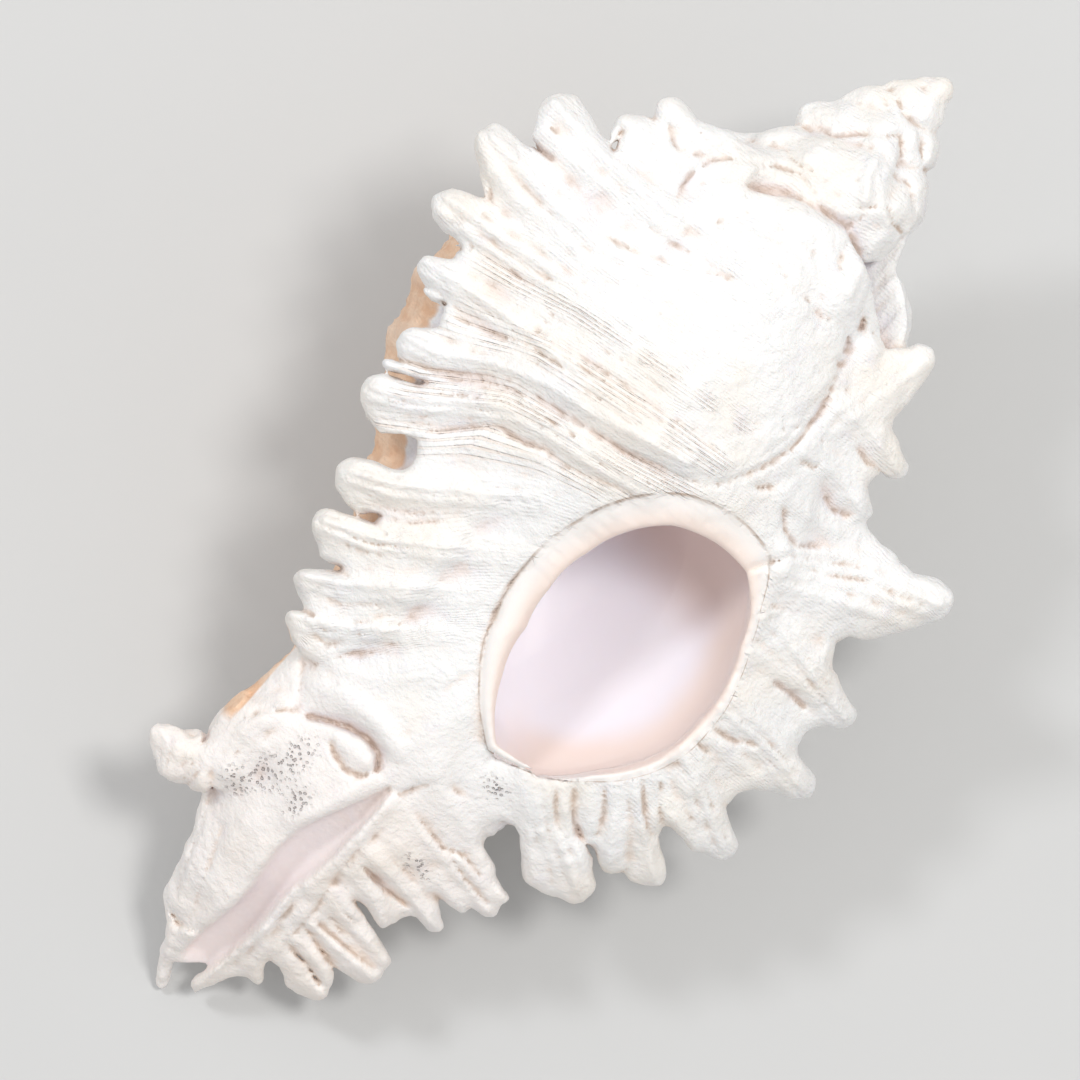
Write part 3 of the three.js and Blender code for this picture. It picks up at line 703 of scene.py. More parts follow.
# Ribs and knobs of the spire and shoulder as seen from the front, in the same columns as the lip's ridges.
SPIRE_RIDGES = (
    (((0, 94.2), (0, 92.4)), 0.25, 0.25, 0.8),
    (((1.6, 93), (1.8, 92.4)), 0.2, 0.2, 0.5),
    (((-1.8, 92.4), (-2.4, 91.4)), 0.3, 0.3, 0.7),
    (((0.6, 92), (0.4, 91.2)), 0.3, 0.3, 0.6),
    (((-3.6, 90.4), (-3.8, 89.8)), 0.3, 0.3, 0.7),
    (((2.4, 90.4), (3, 89)), 0.35, 0.35, 0.7),
    (((-1, 89.6), (-1.2, 88.2)), 0.5, 0.5, 1),
    (((0.8, 90), (1, 89.4)), 0.3, 0.3, 0.6),
    (((-4.6, 87.8), (-5.6, 86.4)), 0.4, 0.4, 0.9),
    (((3.4, 87.4), (4.6, 85.6)), 0.4, 0.4, 1),
    (((0, 86.6), (0.4, 85), (1.4, 83.6)), 0.9, 0.9, 1.5, 2),
    (((-3.6, 84.6), (-4, 83)), 0.5, 0.4, 1.3, 1),
    (((3.4, 85), (3.2, 83.8)), 0.6, 0.6, 0.9),
    (((-7, 84.6), (-8, 82.4)), 0.4, 0.5, 1),
    (((4.2, 83.4), (4.4, 80), (5.2, 77.4)), 0.4, 0.6, 1.5, 2),
    (((7.4, 79.8), (8.8, 77.2)), 0.5, 0.5, 1.4, 2),
    (((-6.6, 78.6), (-6.4, 75.6)), 1, 0.7, 2.4, 1),
    (((-1.2, 79), (0.4, 77)), 0.6, 0.5, 2, 1),
    (((-2.5, 74), (1.5, 72), (3, 69.5)), 0.8, 0.3, 2.6),
    (((3.6, 77.6), (5, 75.8)), 0.4, 0.4, 1.1),
    (((-9.9, 80.8), (-10.2, 80.2)), 0.3, 0.3, 0.7),
    (((9, 75.6), (9.6, 74)), 0.3, 0.3, 0.8),
)


# ---- lines pressed into the front
# Each is a run of points (x, y), its depth and width, and, where it is drawn more than once, how many times
# side by side and how far apart.
GROOVES = (
    # Sutures and wrinkles of the spire.
    (((-1.6, 92.9), (-0.4, 93.1), (0.9, 92.8)), 0.15, 0.25),
    (((-3.9, 91.4), (-2.6, 91.4), (-1, 90.6), (0.6, 90.6), (1.8, 89.4), (3.2, 88.4)), 0.5, 0.28),
    (((-3.6, 90.8), (-1.4, 89.9), (0.2, 89.6)), 0.25, 0.25),
    (((-6.2, 85.8), (-4, 85.6), (-2, 87.5), (0, 89), (1, 88), (1.6, 86.4), (3, 86.6),
      (5, 85.2)), 0.5, 0.3),
    (((-5.6, 84.9), (-3.8, 84.6), (-2, 86)), 0.25, 0.28),
    (((-10.2, 74.6), (-10.1, 76.4), (-9.7, 78), (-8.7, 79.1), (-7, 80), (-5.5, 81), (-4, 81.7),
      (-2.5, 81.3), (-0.5, 80.7), (1.5, 81)), 0.38, 0.26),
    (((-8.4, 81.4), (-6.2, 82.4), (-4.4, 82.2), (-2.6, 82.6), (-0.4, 82.2)), 0.3, 0.3),
    (((0.8, 82.3), (2.2, 83.6), (3, 84.1), (4, 83.5), (5, 83.5), (5.7, 82.6)), 0.55, 0.28),
    (((1.5, 81), (1.9, 82.8)), 0.4, 0.28),
    (((5.9, 82), (5.7, 79.6), (6.2, 77.6), (7, 76)), 0.5, 0.35),
    (((6.4, 83.6), (6.6, 81.4), (7.6, 79.8)), 0.3, 0.3),
    (((2.2, 80.6), (2.6, 78.8), (3.6, 77.6)), 0.3, 0.3),
    (((-14, 78), (-12.6, 77), (-11.4, 77.2), (-10.3, 78)), 0.4, 0.28),
    (((-12.4, 79.4), (-10.8, 78.8)), 0.3, 0.25),
    (((-10.4, 76.2), (-10, 75.2), (-9.8, 74)), 0.3, 0.28),
    (((7, 76.6), (7.3, 76), (7.1, 75.6)), 0.8, 0.3),
    (((6.9, 74.8), (7.3, 74.4), (7.6, 73.6)), 0.8, 0.3),
    (((7.6, 73), (7.9, 72.4)), 0.5, 0.26),
    # The hollow ends of spines, and the crevices between them.
    (((-16.5, 75.4), (-16.1, 74.4), (-15.9, 73.6)), 0.9, 0.32),
    (((-21, 70.2), (-20, 70), (-18.8, 70.1)), 0.7, 0.3),
    (((-21.2, 71.8), (-20, 71.8), (-19, 71)), 0.3, 0.25),
    (((-22, 65.6), (-21.2, 65.4), (-20.5, 64.8)), 0.5, 0.3),
    (((-21.8, 61.3), (-20.8, 61.8)), 0.3, 0.25),
    (((-21.4, 60.6), (-20.2, 60.7), (-19.6, 60.2)), 0.5, 0.28),
    (((-20, 56.5), (-18.8, 56.7), (-17.8, 56.5)), 0.4, 0.28),
    # Growth arcs on the shoulder.
    (((-17.5, 69.8), (-15, 68.8), (-12, 68.3), (-9, 69), (-7, 70.3), (-5, 71),
      (-1, 72.9)), 0.18, 0.4),
    (((-13.3, 71.6), (-11, 71), (-8, 71.2), (-5, 71.9), (-2.5, 72), (0, 72.3), (2, 71.3)), 0.17, 0.4),
    (((-16, 73.3), (-13, 73.6), (-11, 73.8)), 0.2, 0.3),
    (((-3.4, 74.2), (-1.6, 74.5), (-0.4, 75.3), (1.2, 74.6), (3, 74.6), (4.2, 74.4), (5.6, 74.9),
      (7.4, 74.8)), 0.22, 0.25),
    (((-2.8, 76.3), (-1.2, 77), (0.4, 76.9), (1.4, 76.2)), 0.2, 0.35, 2, 0.9),
    # Thread lines beside the cords.
    (((-20, 60.9), (-19, 61.3), (-15, 61.7), (-12.5, 62.4)), 0.22, 0.28, 2, 0.75),
    (((-20.3, 56.4), (-18, 57.2), (-15, 58), (-12.5, 59), (-8, 60), (-4, 60.6), (0, 61),
      (6, 61.6)), 0.25, 0.3, 3, -0.62),
    (((-12, 60.4), (-8, 60.9), (-4, 61.4), (2, 61.9), (7, 62.4)), 0.18, 0.28, 2, 0.6),
    (((13.1, 56.2), (13.4, 57), (14.3, 58.4)), 0.7, 0.25),
    (((-18.3, 50.9), (-16, 51.8), (-14, 53), (-12, 54.5), (-10, 55.4), (-5, 56.2), (0, 56.9),
      (2.5, 57.7), (6, 58.7)), 0.5, 0.36),
    (((-17, 50.6), (-14, 52.2), (-12, 53.9), (-10, 54.8), (-5, 55.6), (0, 56.2),
      (3.5, 57)), 0.28, 0.28, 3, -0.55),
    (((-15.8, 46.3), (-14, 47.4), (-12, 48.8), (-10.5, 50.5), (-9.5, 51.5), (-8.5, 52.1), (-6.5, 52.3),
      (-5, 53), (-3, 53), (-1, 53.6), (1, 54.3), (3.3, 55)), 0.42, 0.36),
    (((-15.4, 46.8), (-12.4, 49.2), (-10.6, 51.4), (-9, 52.6)), 0.22, 0.26, 2, 0.5),
    (((-3.4, 63.5), (0, 63.5), (5, 63.4)), 0.14, 0.22, 4, 0.55),
    (((-14.6, 41.3), (-12, 41.2), (-9.5, 42.6), (-7.4, 44.6)), 0.26, 0.28, 2, -0.7),
    (((-14, 37.6), (-10.6, 38.6), (-7.4, 41)), 0.22, 0.28, 2, -0.7),
    (((-12.6, 33.2), (-9.4, 34.2), (-6.8, 36.4)), 0.22, 0.28, 2, -0.6),
    (((-11, 30.6), (-8, 30.4), (-6.4, 33), (-4.6, 35.6)), 0.26, 0.3, 2, 0.8),
    (((-8.4, 29), (-6.8, 31.6), (-5, 33.4), (-3.6, 34.2)), 0.22, 0.28, 2, -0.8),
    # The seam between the lip and the wall before it, and the lines beside it.
    (((7.7, 75.2), (8, 73), (9.1, 69), (9.4, 65.6), (8.6, 62.8), (7.2, 60.2),
      (6.2, 58.9)), 0.3, 0.26),
    (((8.3, 70.4), (8.6, 66), (7.9, 63), (6.6, 60.6)), 0.2, 0.22, 2, 0.6),
    (((6.2, 64.2), (7.2, 65.4), (8.6, 66.8), (9.8, 69.4)), 0.18, 0.22, 2, 0.7),
    # Crevices between the fronds of the lip.
    (((13, 68.9), (14.4, 68.5), (16.2, 68.7)), 0.5, 0.35),
    (((13.6, 64.4), (15, 64), (16.2, 64.6)), 0.5, 0.35),
    (((11.8, 61.6), (13, 60.4), (14.6, 60), (16.2, 61.2)), 0.45, 0.35),
    (((10.4, 65), (11.6, 65.5), (12, 66)), 0.3, 0.3),
    (((9, 61.2), (10.2, 62.2)), 0.45, 0.35),
    (((17.4, 58.8), (18.4, 60.2), (20.4, 61.6)), 0.25, 0.3, 2, 0.9),
    (((20.2, 51), (21.8, 51.2), (23.6, 51)), 0.5, 0.45),
    (((19.2, 45.2), (21, 45.6), (22.4, 46.4)), 0.5, 0.45),
    (((18.2, 43.4), (20.2, 43.6)), 0.3, 0.3),
    (((18.8, 41.3), (17.2, 40.6), (16.6, 39.2), (15, 37.9), (13, 35.6), (11, 34),
      (8.2, 33.4)), 0.7, 0.4),
    (((17.6, 38.6), (19.4, 36.6), (21, 35.4)), 0.4, 0.35, 2, 1.3),
    (((15.6, 36.4), (17, 34.6), (17.8, 32.8)), 0.45, 0.35),
    (((12.6, 34.2), (14, 32.2), (15.6, 30.6)), 0.4, 0.35, 2, 1.4),
    # Round the lower end of the mouth.
    (((-0.2, 46), (-0.2, 43.5), (0.3, 41), (1.4, 38.6), (2.4, 37)), 0.5, 0.3),
    (((2.4, 37), (1.6, 35.4), (1.2, 33.6)), 0.25, 0.28),
    (((7.3, 33.4), (7.7, 32.6), (7.6, 31.4)), 0.4, 0.3),
    (((6.6, 28.4), (8.4, 28.6)), 0.25, 0.28),
    # The canal.
    (((-5.5, 25.2), (-4, 26), (-2.4, 26.7), (-0.8, 27), (0.6, 26.7), (1.4, 25.6)), 2, 0.42),
    (((-3, 25.2), (-2, 24.4), (-0.4, 24), (0.8, 24.4), (1.4, 25.6)), 0.7, 0.3),
    (((-9.2, 21.8), (-8, 23.6), (-6.4, 25)), 0.45, 0.3),
    (((-10, 28.7), (-8.6, 28.2), (-7.2, 26.4), (-6.3, 25.2)), 0.35, 0.35),
    (((5.6, 28), (4.6, 26.6), (4, 25.4), (3.3, 24.8)), 0.4, 0.3),
    (((-8.4, 17), (-7.4, 15.8), (-7, 14.6)), 0.5, 0.35),
    (((-9.6, 14), (-9, 15), (-9.2, 16.6), (-10.2, 17.6)), 0.3, 0.22, 3, 0.6),
    (((-11.4, 14.2), (-11.4, 15.4), (-12.2, 16.6), (-13.2, 17.2)), 0.26, 0.22, 2, 0.7),
    (((-11.1, 18.9), (-10.5, 18.8), (-10.3, 18.1)), 0.9, 0.28),
    (((-9.9, 24), (-9.8, 22), (-10, 20.4), (-10.5, 20)), 0.3, 0.3),
    (((-6.7, 14.2), (-5.5, 11), (-4.6, 8.4), (-3.8, 6.6)), 0.38, 0.25, 4, 0.55),
    (((-3.8, 6), (-2.6, 5.5), (-1.5, 5.8), (-0.6, 6.7)), 0.6, 0.26),
    (((4.8, 22.4), (4.4, 19), (4.6, 16.4), (5, 13), (5, 9.6)), 0.35, 0.35),
    (((3.3, 13), (3.5, 10), (2.8, 6.2), (2.3, 3.4)), 0.35, 0.26),
    (((6, 24.9), (9.4, 24.3), (11, 24.9), (13.4, 24.4)), 0.5, 0.3),
    (((10, 24.3), (12.4, 23.4), (15, 22.9)), 0.35, 0.28),
    (((5.6, 19), (8, 18.7), (10.5, 18.9)), 0.9, 0.32),
    (((6, 14.2), (7.4, 13.9), (8.8, 14)), 0.4, 0.3),
    (((5.4, 15.4), (8.6, 15), (11, 14.9)), 0.4, 0.28),
    (((5.6, 13.2), (8.6, 13.1), (11.8, 13.2)), 0.8, 0.3),
    (((5.4, 12.1), (8.4, 11.3), (10, 10.8)), 0.8, 0.3),
    (((5.4, 10.1), (7.6, 9.8), (9.2, 9.2)), 0.8, 0.3),
)


# ---- the canal
# The canal's body and the older canal's: x, y, z, half width, half thickness.
CANAL = (
    (1.5, 38, 1, 8, 6), (0, 29, 0.5, 9.2, 5.6), (-1.4, 23, -0.6, 8.8, 5), (-1.8, 17, -2.4, 6.6, 4.4),
    (-1.6, 12, -4.8, 4.8, 3.7), (-1.1, 8, -7.6, 3.9, 2.7), (-0.6, 5.8, -9.4, 2.95, 2),
    (-1.75, 3.4, -11.2, 0.8, 1.1), (-0.45, 0.5, -13.9, 0.35, 0.45),
)
OLD_CANAL = (
    (-3, 27, 0, 4.4, 4), (-7.2, 22, -0.4, 3.2, 3.2), (-9, 18.6, -0.6, 2.2, 2.3),
    (-10.6, 16.6, -0.6, 1.9, 1.8),
)
# The height of the canal's middle: y and z.
CANAL_MIDDLE = (
    (27, 0), (23, -0.6), (17, -2.4), (12, -4.8), (8, -7.6), (5.8, -9.4), (3.4, -11.2), (0, -14.2),
)
# The open channel down it: x, y, the surface's height there, half width, depth.
SLIT = (
    (3.1, 24.8, 5, 0.3, 0.9), (2.7, 22.6, 4.2, 0.75, 1.3), (2, 20.2, 3.1, 1.3, 1.6),
    (1.5, 18, 2.1, 1.7, 1.8), (1.2, 16, 1, 1.65, 1.9), (1.1, 14, -0.2, 1.35, 2),
    (1.15, 12, -1.4, 1.15, 2.2), (1.1, 10, -3.1, 1.2, 2.2), (0.9, 8, -5, 1.3, 2), (0.6, 6, -7.1, 1.35, 1.6),
    (0.4, 4.4, -8.8, 1.2, 1.3),
)
# The stump of the canal that the left rib had, cut off slantwise, as seen from the front.
STUMP_OUTLINE = [
    (-8, 25), (-10.2, 23), (-10.6, 21), (-10.9, 19.5), (-11.5, 18.3), (-12.8, 17.7), (-13.9, 16.9),
    (-14, 16.2), (-13.2, 15.2), (-12.2, 14.2), (-11.4, 13.7), (-10.3, 13.7), (-9, 14.4), (-8, 14.9),
    (-7, 15.8), (-5.5, 18), (-5, 24),
]
# The stump's upper side at its middle: y and height.
STUMP_LEVELS = ((26, 4), (20, 2.8), (17, 2.2), (13, 1.2))
STUMP_THICKNESS = 3.6


def add_stump(grid):
    """The stump, a thick plate that is a little lower on its left."""
    x, y = grid.plane()
    top = by_level(STUMP_LEVELS, 1, y) + 0.08 * (x + 10)
    add_plate(grid, STUMP_OUTLINE, top, np.full_like(x, STUMP_THICKNESS), blend=0.7, edge=1.5)


# ---- the mouth
MOUTH = (10.0, 45.0)
EDGE_SLANT = 0.93  # makes up for an edge that isn't square to the line from the mouth's centre
RIM_HEIGHT = 6.6  # the crest's, over the mouth's centre
RIM_MIDDLE = 1.3  # how far under the crest the rim is widest
RIM_TOP, RIM_ROOT = 1.3, 4.5  # how far it goes up and down from there
BOWL_DEPTH, BOWL_LESS = 12.5, 4.0  # the smooth inside's depth, and how much less it is at the far right
HOLLOW_TOP = 2.5
# The mouth's edge: angle from the lip side, anticlockwise, and distance from its centre.
MOUTH_EDGE = (
    (0, 7.9), (25, 8.3), (45, 9), (60, 10.3), (75, 11.4), (90, 11.2), (110, 10.7), (130, 9.5), (150, 8.4),
    (180, 7.7), (205, 7.8), (231, 9.5), (245, 10.7), (256, 11.7), (270, 10.8), (281, 10.2), (297, 9.2),
    (318, 8.6), (340, 8.2), (360, 7.9),
)
# Half the rim's width, by the angle round the mouth.
RIM_WIDTH = (
    (0, 0.44), (30, 0.35), (60, 0.4), (76, 1), (90, 1.1), (210, 1.1), (228, 0.85), (250, 0.55), (280, 0.44),
    (360, 0.44),
)


def from_mouth(x, y):
    """The angle round the mouth's centre, and the distance outside its edge."""
    turn = np.degrees(np.arctan2(y - MOUTH[1], x - MOUTH[0])) % 360
    return turn, (np.hypot(x - MOUTH[0], y - MOUTH[1]) - through(MOUTH_EDGE, turn)) * EDGE_SLANT


def rim_level(x, y):
    """The height of the rim's crest."""
    return RIM_HEIGHT - 0.24 * (x - MOUTH[0]) + 0.07 * (y - MOUTH[1])


def add_rim(grid):
    """The smooth rim that stands round the mouth."""

    def distance(x, y, z):
        turn, off = from_mouth(x, y)
        wide = through(RIM_WIDTH, turn)
        flat = (off - wide) / wide
        over = z - rim_level(x, y) + RIM_MIDDLE
        deep = over / np.where(over > 0, RIM_TOP, RIM_ROOT)
        return (np.hypot(flat, deep) - 1) * wide

    grid.add((-1, 31, -3), (20.5, 60, 12), distance, blend=0.35)


# The hollow behind the mouth: azimuth, distance from the axis, y, half width, half height.
HOLLOW = np.array([
    [-40, 8, 45, 5, 10.8], [0, 8.4, 45.2, 5.6, 10.8], [30, 6.6, 45.6, 4.9, 10.5], [60, 6.4, 47, 4.6, 9.4],
    [90, 6.2, 49.6, 3.8, 8], [125, 6.4, 52.6, 3.2, 6],
])


def cut_hollow(grid):
    """Opens the mouth and the hollow behind it, round the axis."""
    low, high = (-25, 32, -25), (25, 68, 14)
    where = grid.near(low, high)

    def opening(x, y, z):
        turn, off = from_mouth(x, y)
        across = 1 + off / (EDGE_SLANT * through(MOUTH_EDGE, turn))
        right = np.clip(0.5 + 0.055 * (x - MOUTH[0]) - 0.03 * (y - MOUTH[1]), 0, 1)
        deep = np.maximum(rim_level(x, y) - z, 0) / (BOWL_DEPTH - BOWL_LESS * right)
        bowl = (np.hypot(across, deep) - 1) * 8
        azimuth = np.where(grid.azimuth[where] > 262, grid.azimuth[where] - 360, grid.azimuth[where])
        middle, level, wide, tall = (np.interp(azimuth, HOLLOW[:, 0], HOLLOW[:, i]) for i in range(1, 5))
        tube = (np.hypot((grid.radius[where] - middle) / wide, (y - level) / tall) - 1) * wide
        past_end = (azimuth - HOLLOW[-1, 0]) * 0.18
        behind = np.maximum(np.maximum(tube, past_end), z - HOLLOW_TOP)
        return blend_min(bowl, behind, 5.0)

    grid.cut(low, high, opening, blend=0.5)


# Patches worn down to small pores: x, y, and how far they spread along x and y.
PORES = (
    (-6.4, 17.6, 1.2, 1.1), (-5, 19.8, 1.3, 1.3), (-4, 22.6, 1, 1.6), (-1.8, 19.6, 0.9, 1.4),
    (8.8, 21.8, 1.3, 0.7), (9.4, 30.6, 1.2, 0.7),
)


def press_front(grid):
    """Everything that is drawn on the front: ridges and grooves."""
    front = FrontMap(grid)
    for row in (*LIP_RIDGES, *LEFT_RIDGES, *SPIRE_RIDGES, *CANAL_RIDGES):
        front.ridge(*row)
    for row in GROOVES:
        front.groove(*row)
    grid.press(front.depth)


def cut_channel(grid):
    """Opens the channel down the canal."""
    places = np.array(SLIT)[:, :3]
    grid.cut(places.min(0) - 4, places.max(0) + 4, sweep_distance(SLIT, across=(1, 0, 0)), blend=0.8)


# The random roughness of the surface: the size of its lumps and their height.
ROUGHNESS = ((4.0, 0.2), (1.5, 0.1), (0.7, 0.05))


def build():
    """The whole shell as a grid of distances."""
    grid = Grid(VOXEL)
    add_sweep(grid, CANAL, blend=1.5, across=(1, 0, 0))
    add_sweep(grid, OLD_CANAL, blend=0.8, across=(1, 1, 0))
    add_stump(grid)
    add_left_rib(grid)
    add_lip(grid)
    add_back_rib(grid)
    for row in KNOBS:
        add_knob(grid, *row)
    add_spire_knobs(grid)
    for seed, (pitch, height) in enumerate(ROUGHNESS, 1):
        grid.roughen(pitch, height, seed)
    press_front(grid)
    add_rim(grid)
    cut_hollow(grid)
    cut_channel(grid)
    return grid


# ---- from distances to a mesh
# Where the row frame's origin is, in the shell's frame once its axis has been raised.
FRAME_ORIGIN = np.array([1.909, 47.391, -24.821])
TRIANGLES = 190000
MM = 0.001


def raise_axis(points):
    """Lifts the spire's end and lowers the canal's, as the shell lies."""
    raised = points.copy()
    raised[:, 2] += AXIS_RISE * (raised[:, 1] - AXIS_LEVEL_Y)
    return raised


def largest_piece(count, faces):
    """Which points hang together with most of the others."""
    label = np.arange(count)
    edges = np.vstack([faces[:, [0, 1]], faces[:, [1, 2]], faces[:, [2, 3]], faces[:, [3, 0]]])
    while True:
        lowest = np.minimum(label[edges[:, 0]], label[edges[:, 1]])
        fresh = label.copy()
        np.minimum.at(fresh, edges[:, 0], lowest)
        np.minimum.at(fresh, edges[:, 1], lowest)
        fresh = fresh[fresh]
        fresh = fresh[fresh]
        if (fresh == label).all():
            break
        label = fresh
    return label == np.bincount(label).argmax()


def surface(grid):
    """The surface's points in the shell's frame, in millimetres, and its four-sided faces."""
    volume = openvdb.FloatGrid(5.0)
    volume.copyFromArray(np.clip(grid.field, -5, 5).astype(np.float32))
    points, faces = volume.convertToQuads(0.0)
    keep = largest_piece(len(points), faces.astype(np.int64))
    faces = faces[keep[faces[:, 0]]]
    fresh = np.cumsum(keep) - 1
    return points[keep] * grid.voxel + LOW, fresh[faces]


def mesh_object(name, points, faces):
    """A mesh object from points in metres and four-sided faces."""
    mesh = bpy.data.meshes.new(name)
    mesh.vertices.add(len(points))
    mesh.vertices.foreach_set("co", points.astype(np.float32).ravel())
    mesh.loops.add(faces.size)
    mesh.loops.foreach_set("vertex_index", faces.astype(np.int32).ravel())
    mesh.polygons.add(len(faces))
    mesh.polygons.foreach_set("loop_start", np.arange(0, faces.size, faces.shape[1], dtype=np.int32))
    mesh.update(calc_edges=True)
    mesh.validate()
    piece = bpy.data.objects.new(name, mesh)
    bpy.context.scene.collection.objects.link(piece)
    return piece


def thin_out(piece, triangles):
    """Merges the flattest faces until the piece has no more than that many triangles."""
    count = sum(len(face.vertices) - 2 for face in piece.data.polygons)
    if count <= triangles:
        return
    fewer = piece.modifiers.new("fewer faces", "DECIMATE")
    fewer.ratio = triangles / count
    shaped = piece.evaluated_get(bpy.context.evaluated_depsgraph_get())
    mesh = bpy.data.meshes.new_from_object(shaped)
    piece.modifiers.clear()
    piece.data = mesh
    mesh.name = piece.name


def sampled(field, grid, points):
    """A field's values at points, between the cells of the grid."""
    at = (points - LOW) / grid.voxel
    at = np.clip(at, 0, np.array(field.shape) - 1.001)
    low = at.astype(int)
    share = at - low
    total = 0
    for corner in np.ndindex(2, 2, 2):
        corner = np.array(corner)
        weight = np.prod(np.where(corner, share, 1 - share), axis=1)
        x, y, z = (low + corner).T
        total = total + weight * field[x, y, z]
    return total


def blurred(field, cells):
    """The field averaged over a box of that many cells either way, twice."""
    for _ in range(2):
        for axis in range(3):
            pad = [(0, 0)] * 3
            pad[axis] = (cells + 1, cells)
            total = np.cumsum(np.pad(field, pad, mode="edge"), axis=axis, dtype=np.float64)
            count = field.shape[axis]
            upper = np.take(total, range(2 * cells + 1, 2 * cells + 1 + count), axis=axis)
            lower = np.take(total, range(count), axis=axis)
            field = ((upper - lower) / (2 * cells + 1)).astype(np.float32)
    return field


# ---- where each colour is
# Bundles of fine dark lines: from where to where they run, counted down the shell across the threads.
BUNDLES = ((15.8, 17.3), (19.9, 22.2), (23.8, 26.2), (27.8, 29.4))


def closed_in(grid, points, cells):
    """How much of the shell lies within that many cells of each point: a half on a flat place."""
    full = np.clip(0.5 - grid.field / grid.voxel, 0, 1)
    return sampled(blurred(full, cells), grid, points)


def mouth_masks(x, y, z, depth):
    """The rim, the smooth inside, and how far off the mouth's edge a point is in widths of the rim."""
    turn, off = from_mouth(x, y)
    level = rim_level(x, y)
    widths = off / through(RIM_WIDTH, turn)
    near_front = rise(-6, -2, z - level)
    rim = near_front * rise(2.3, 1.9, widths) * rise(-0.9, -0.1, off)
    bowl = rise(0.25, -0.35, off) * rise(level + 0.4, level - 0.6, z) * (depth > 0.6)
    hollow = (y > 33) * (y < 69) * (abs(x) < 22) * (depth > np.where(off < 1.5, 1.6, 4)) * rise(4, 2, z)
    edge = widths + 9 * (1 - near_front) * (off > 0.5)
    return rim, np.maximum(bowl, hollow), edge


def channel_mask(x, y, z):
    """The canal's open channel, fainter towards the mouth."""
    slit = np.array(SLIT)
    level, half = (np.interp(y, slit[::-1, 1], slit[::-1, column]) for column in (2, 3))
    near = abs(along(slit[:, :2], x, y)[1]) / half
    return rise(1.25, 0.7, near) * rise(3.6, 3, abs(z - level)) * (0.8 - 0.4 * rise(15, 23, y))


def tan_mask(x, y, z, azimuth):
    """The older tan wall, on the left of the back and behind the left rib."""
    behind = np.maximum(rise(-9.4, -10, x) * rise(19, 23, y), rise(1, -2, z) * rise(12, 24, y))
    left = rise(98, 140, azimuth) * (azimuth < 230)
    under_rib = rise(6.5, 4.5, z - 0.06 * (y - 45)) * rise(82, 66, y)
    return left * under_rib * (behind + (1 - behind) * rise(27.5, 31, y))


def bundle_mask(x, azimuth, thread):
    """The bundles of fine dark lines between the left rib and the mouth."""
    bundle = sum(
        rise(low - 0.2, low + 0.1, thread) * rise(high + 0.2, high - 0.2, thread) for low, high in BUNDLES
    )
    return bundle * (azimuth > 205) * rise(9, 6, x) * rise(-19, -17, x)


def pore_mask(x, y, z):
    """The patches worn down to pores, on the front only."""
    patches = sum(bump(np.hypot((x - px) / wide, (y - py) / tall), 1) for px, py, wide, tall in PORES)
    return np.clip(1.5 * patches * (z > -6) - 0.2, 0, 1)


def shell_masks(points, grid):
    """How strongly each kind of surface and each painted shade shows at each point, and the coordinates that
    fine lines follow.
    """
    x, y, z = points.T
    azimuth = np.degrees(np.arctan2(-z, x - lean(y))) % 360
    depth = wall_radius(azimuth, y) - np.hypot(x - lean(y), z)
    off = from_mouth(x, y)[1]
    rim, inside, edge = mouth_masks(x, y, z, depth)
    inside = np.maximum(inside, channel_mask(x, y, z))
    on_back = (azimuth > 50) * (azimuth < 200)
    thread = across_threads(x, y, np.maximum(rise(200, 212, azimuth), rise(60, 40, azimuth)))
    lip_side = rise(3.4, 1, -off) * rise(8, 14, x - 0.3 * (y - 45))
    return {
        # Painted shade: peach in crevices, brown in the deepest cracks and lilac in broad hollows.
        "painted_crevice_shade": rise(0.53, 0.62, closed_in(grid, points, 2)),
        "painted_crack_shade": rise(0.56, 0.66, closed_in(grid, points, 1)) * (1 - 0.75 * on_back),
        "shade": rise(0.53, 0.66, closed_in(grid, points, 6)),
        "rim": rim * (1 - inside),
        "inside": inside,
        "edge": edge,
        "back": tan_mask(x, y, z, azimuth),
        # Mauve painted shade towards the top of the mouth's inside, and a quarter of it below y 31.
        "throat_shade": rise(48, 54, y + 0.15 * (x - 10)) * rise(17, 12, x) + 0.25 * (y < 31),
        "wall_side": np.where(y > 31, lip_side, 0.35 + 0.4 * rise(20, 29, y)),
        "thread": thread,
        "bundle": bundle_mask(x, azimuth, thread) * (off > 2.4),
        "pores": pore_mask(x, y, z),
        "cord": back_cords(azimuth, y),
        "low": rise(34, 22, y),
    }


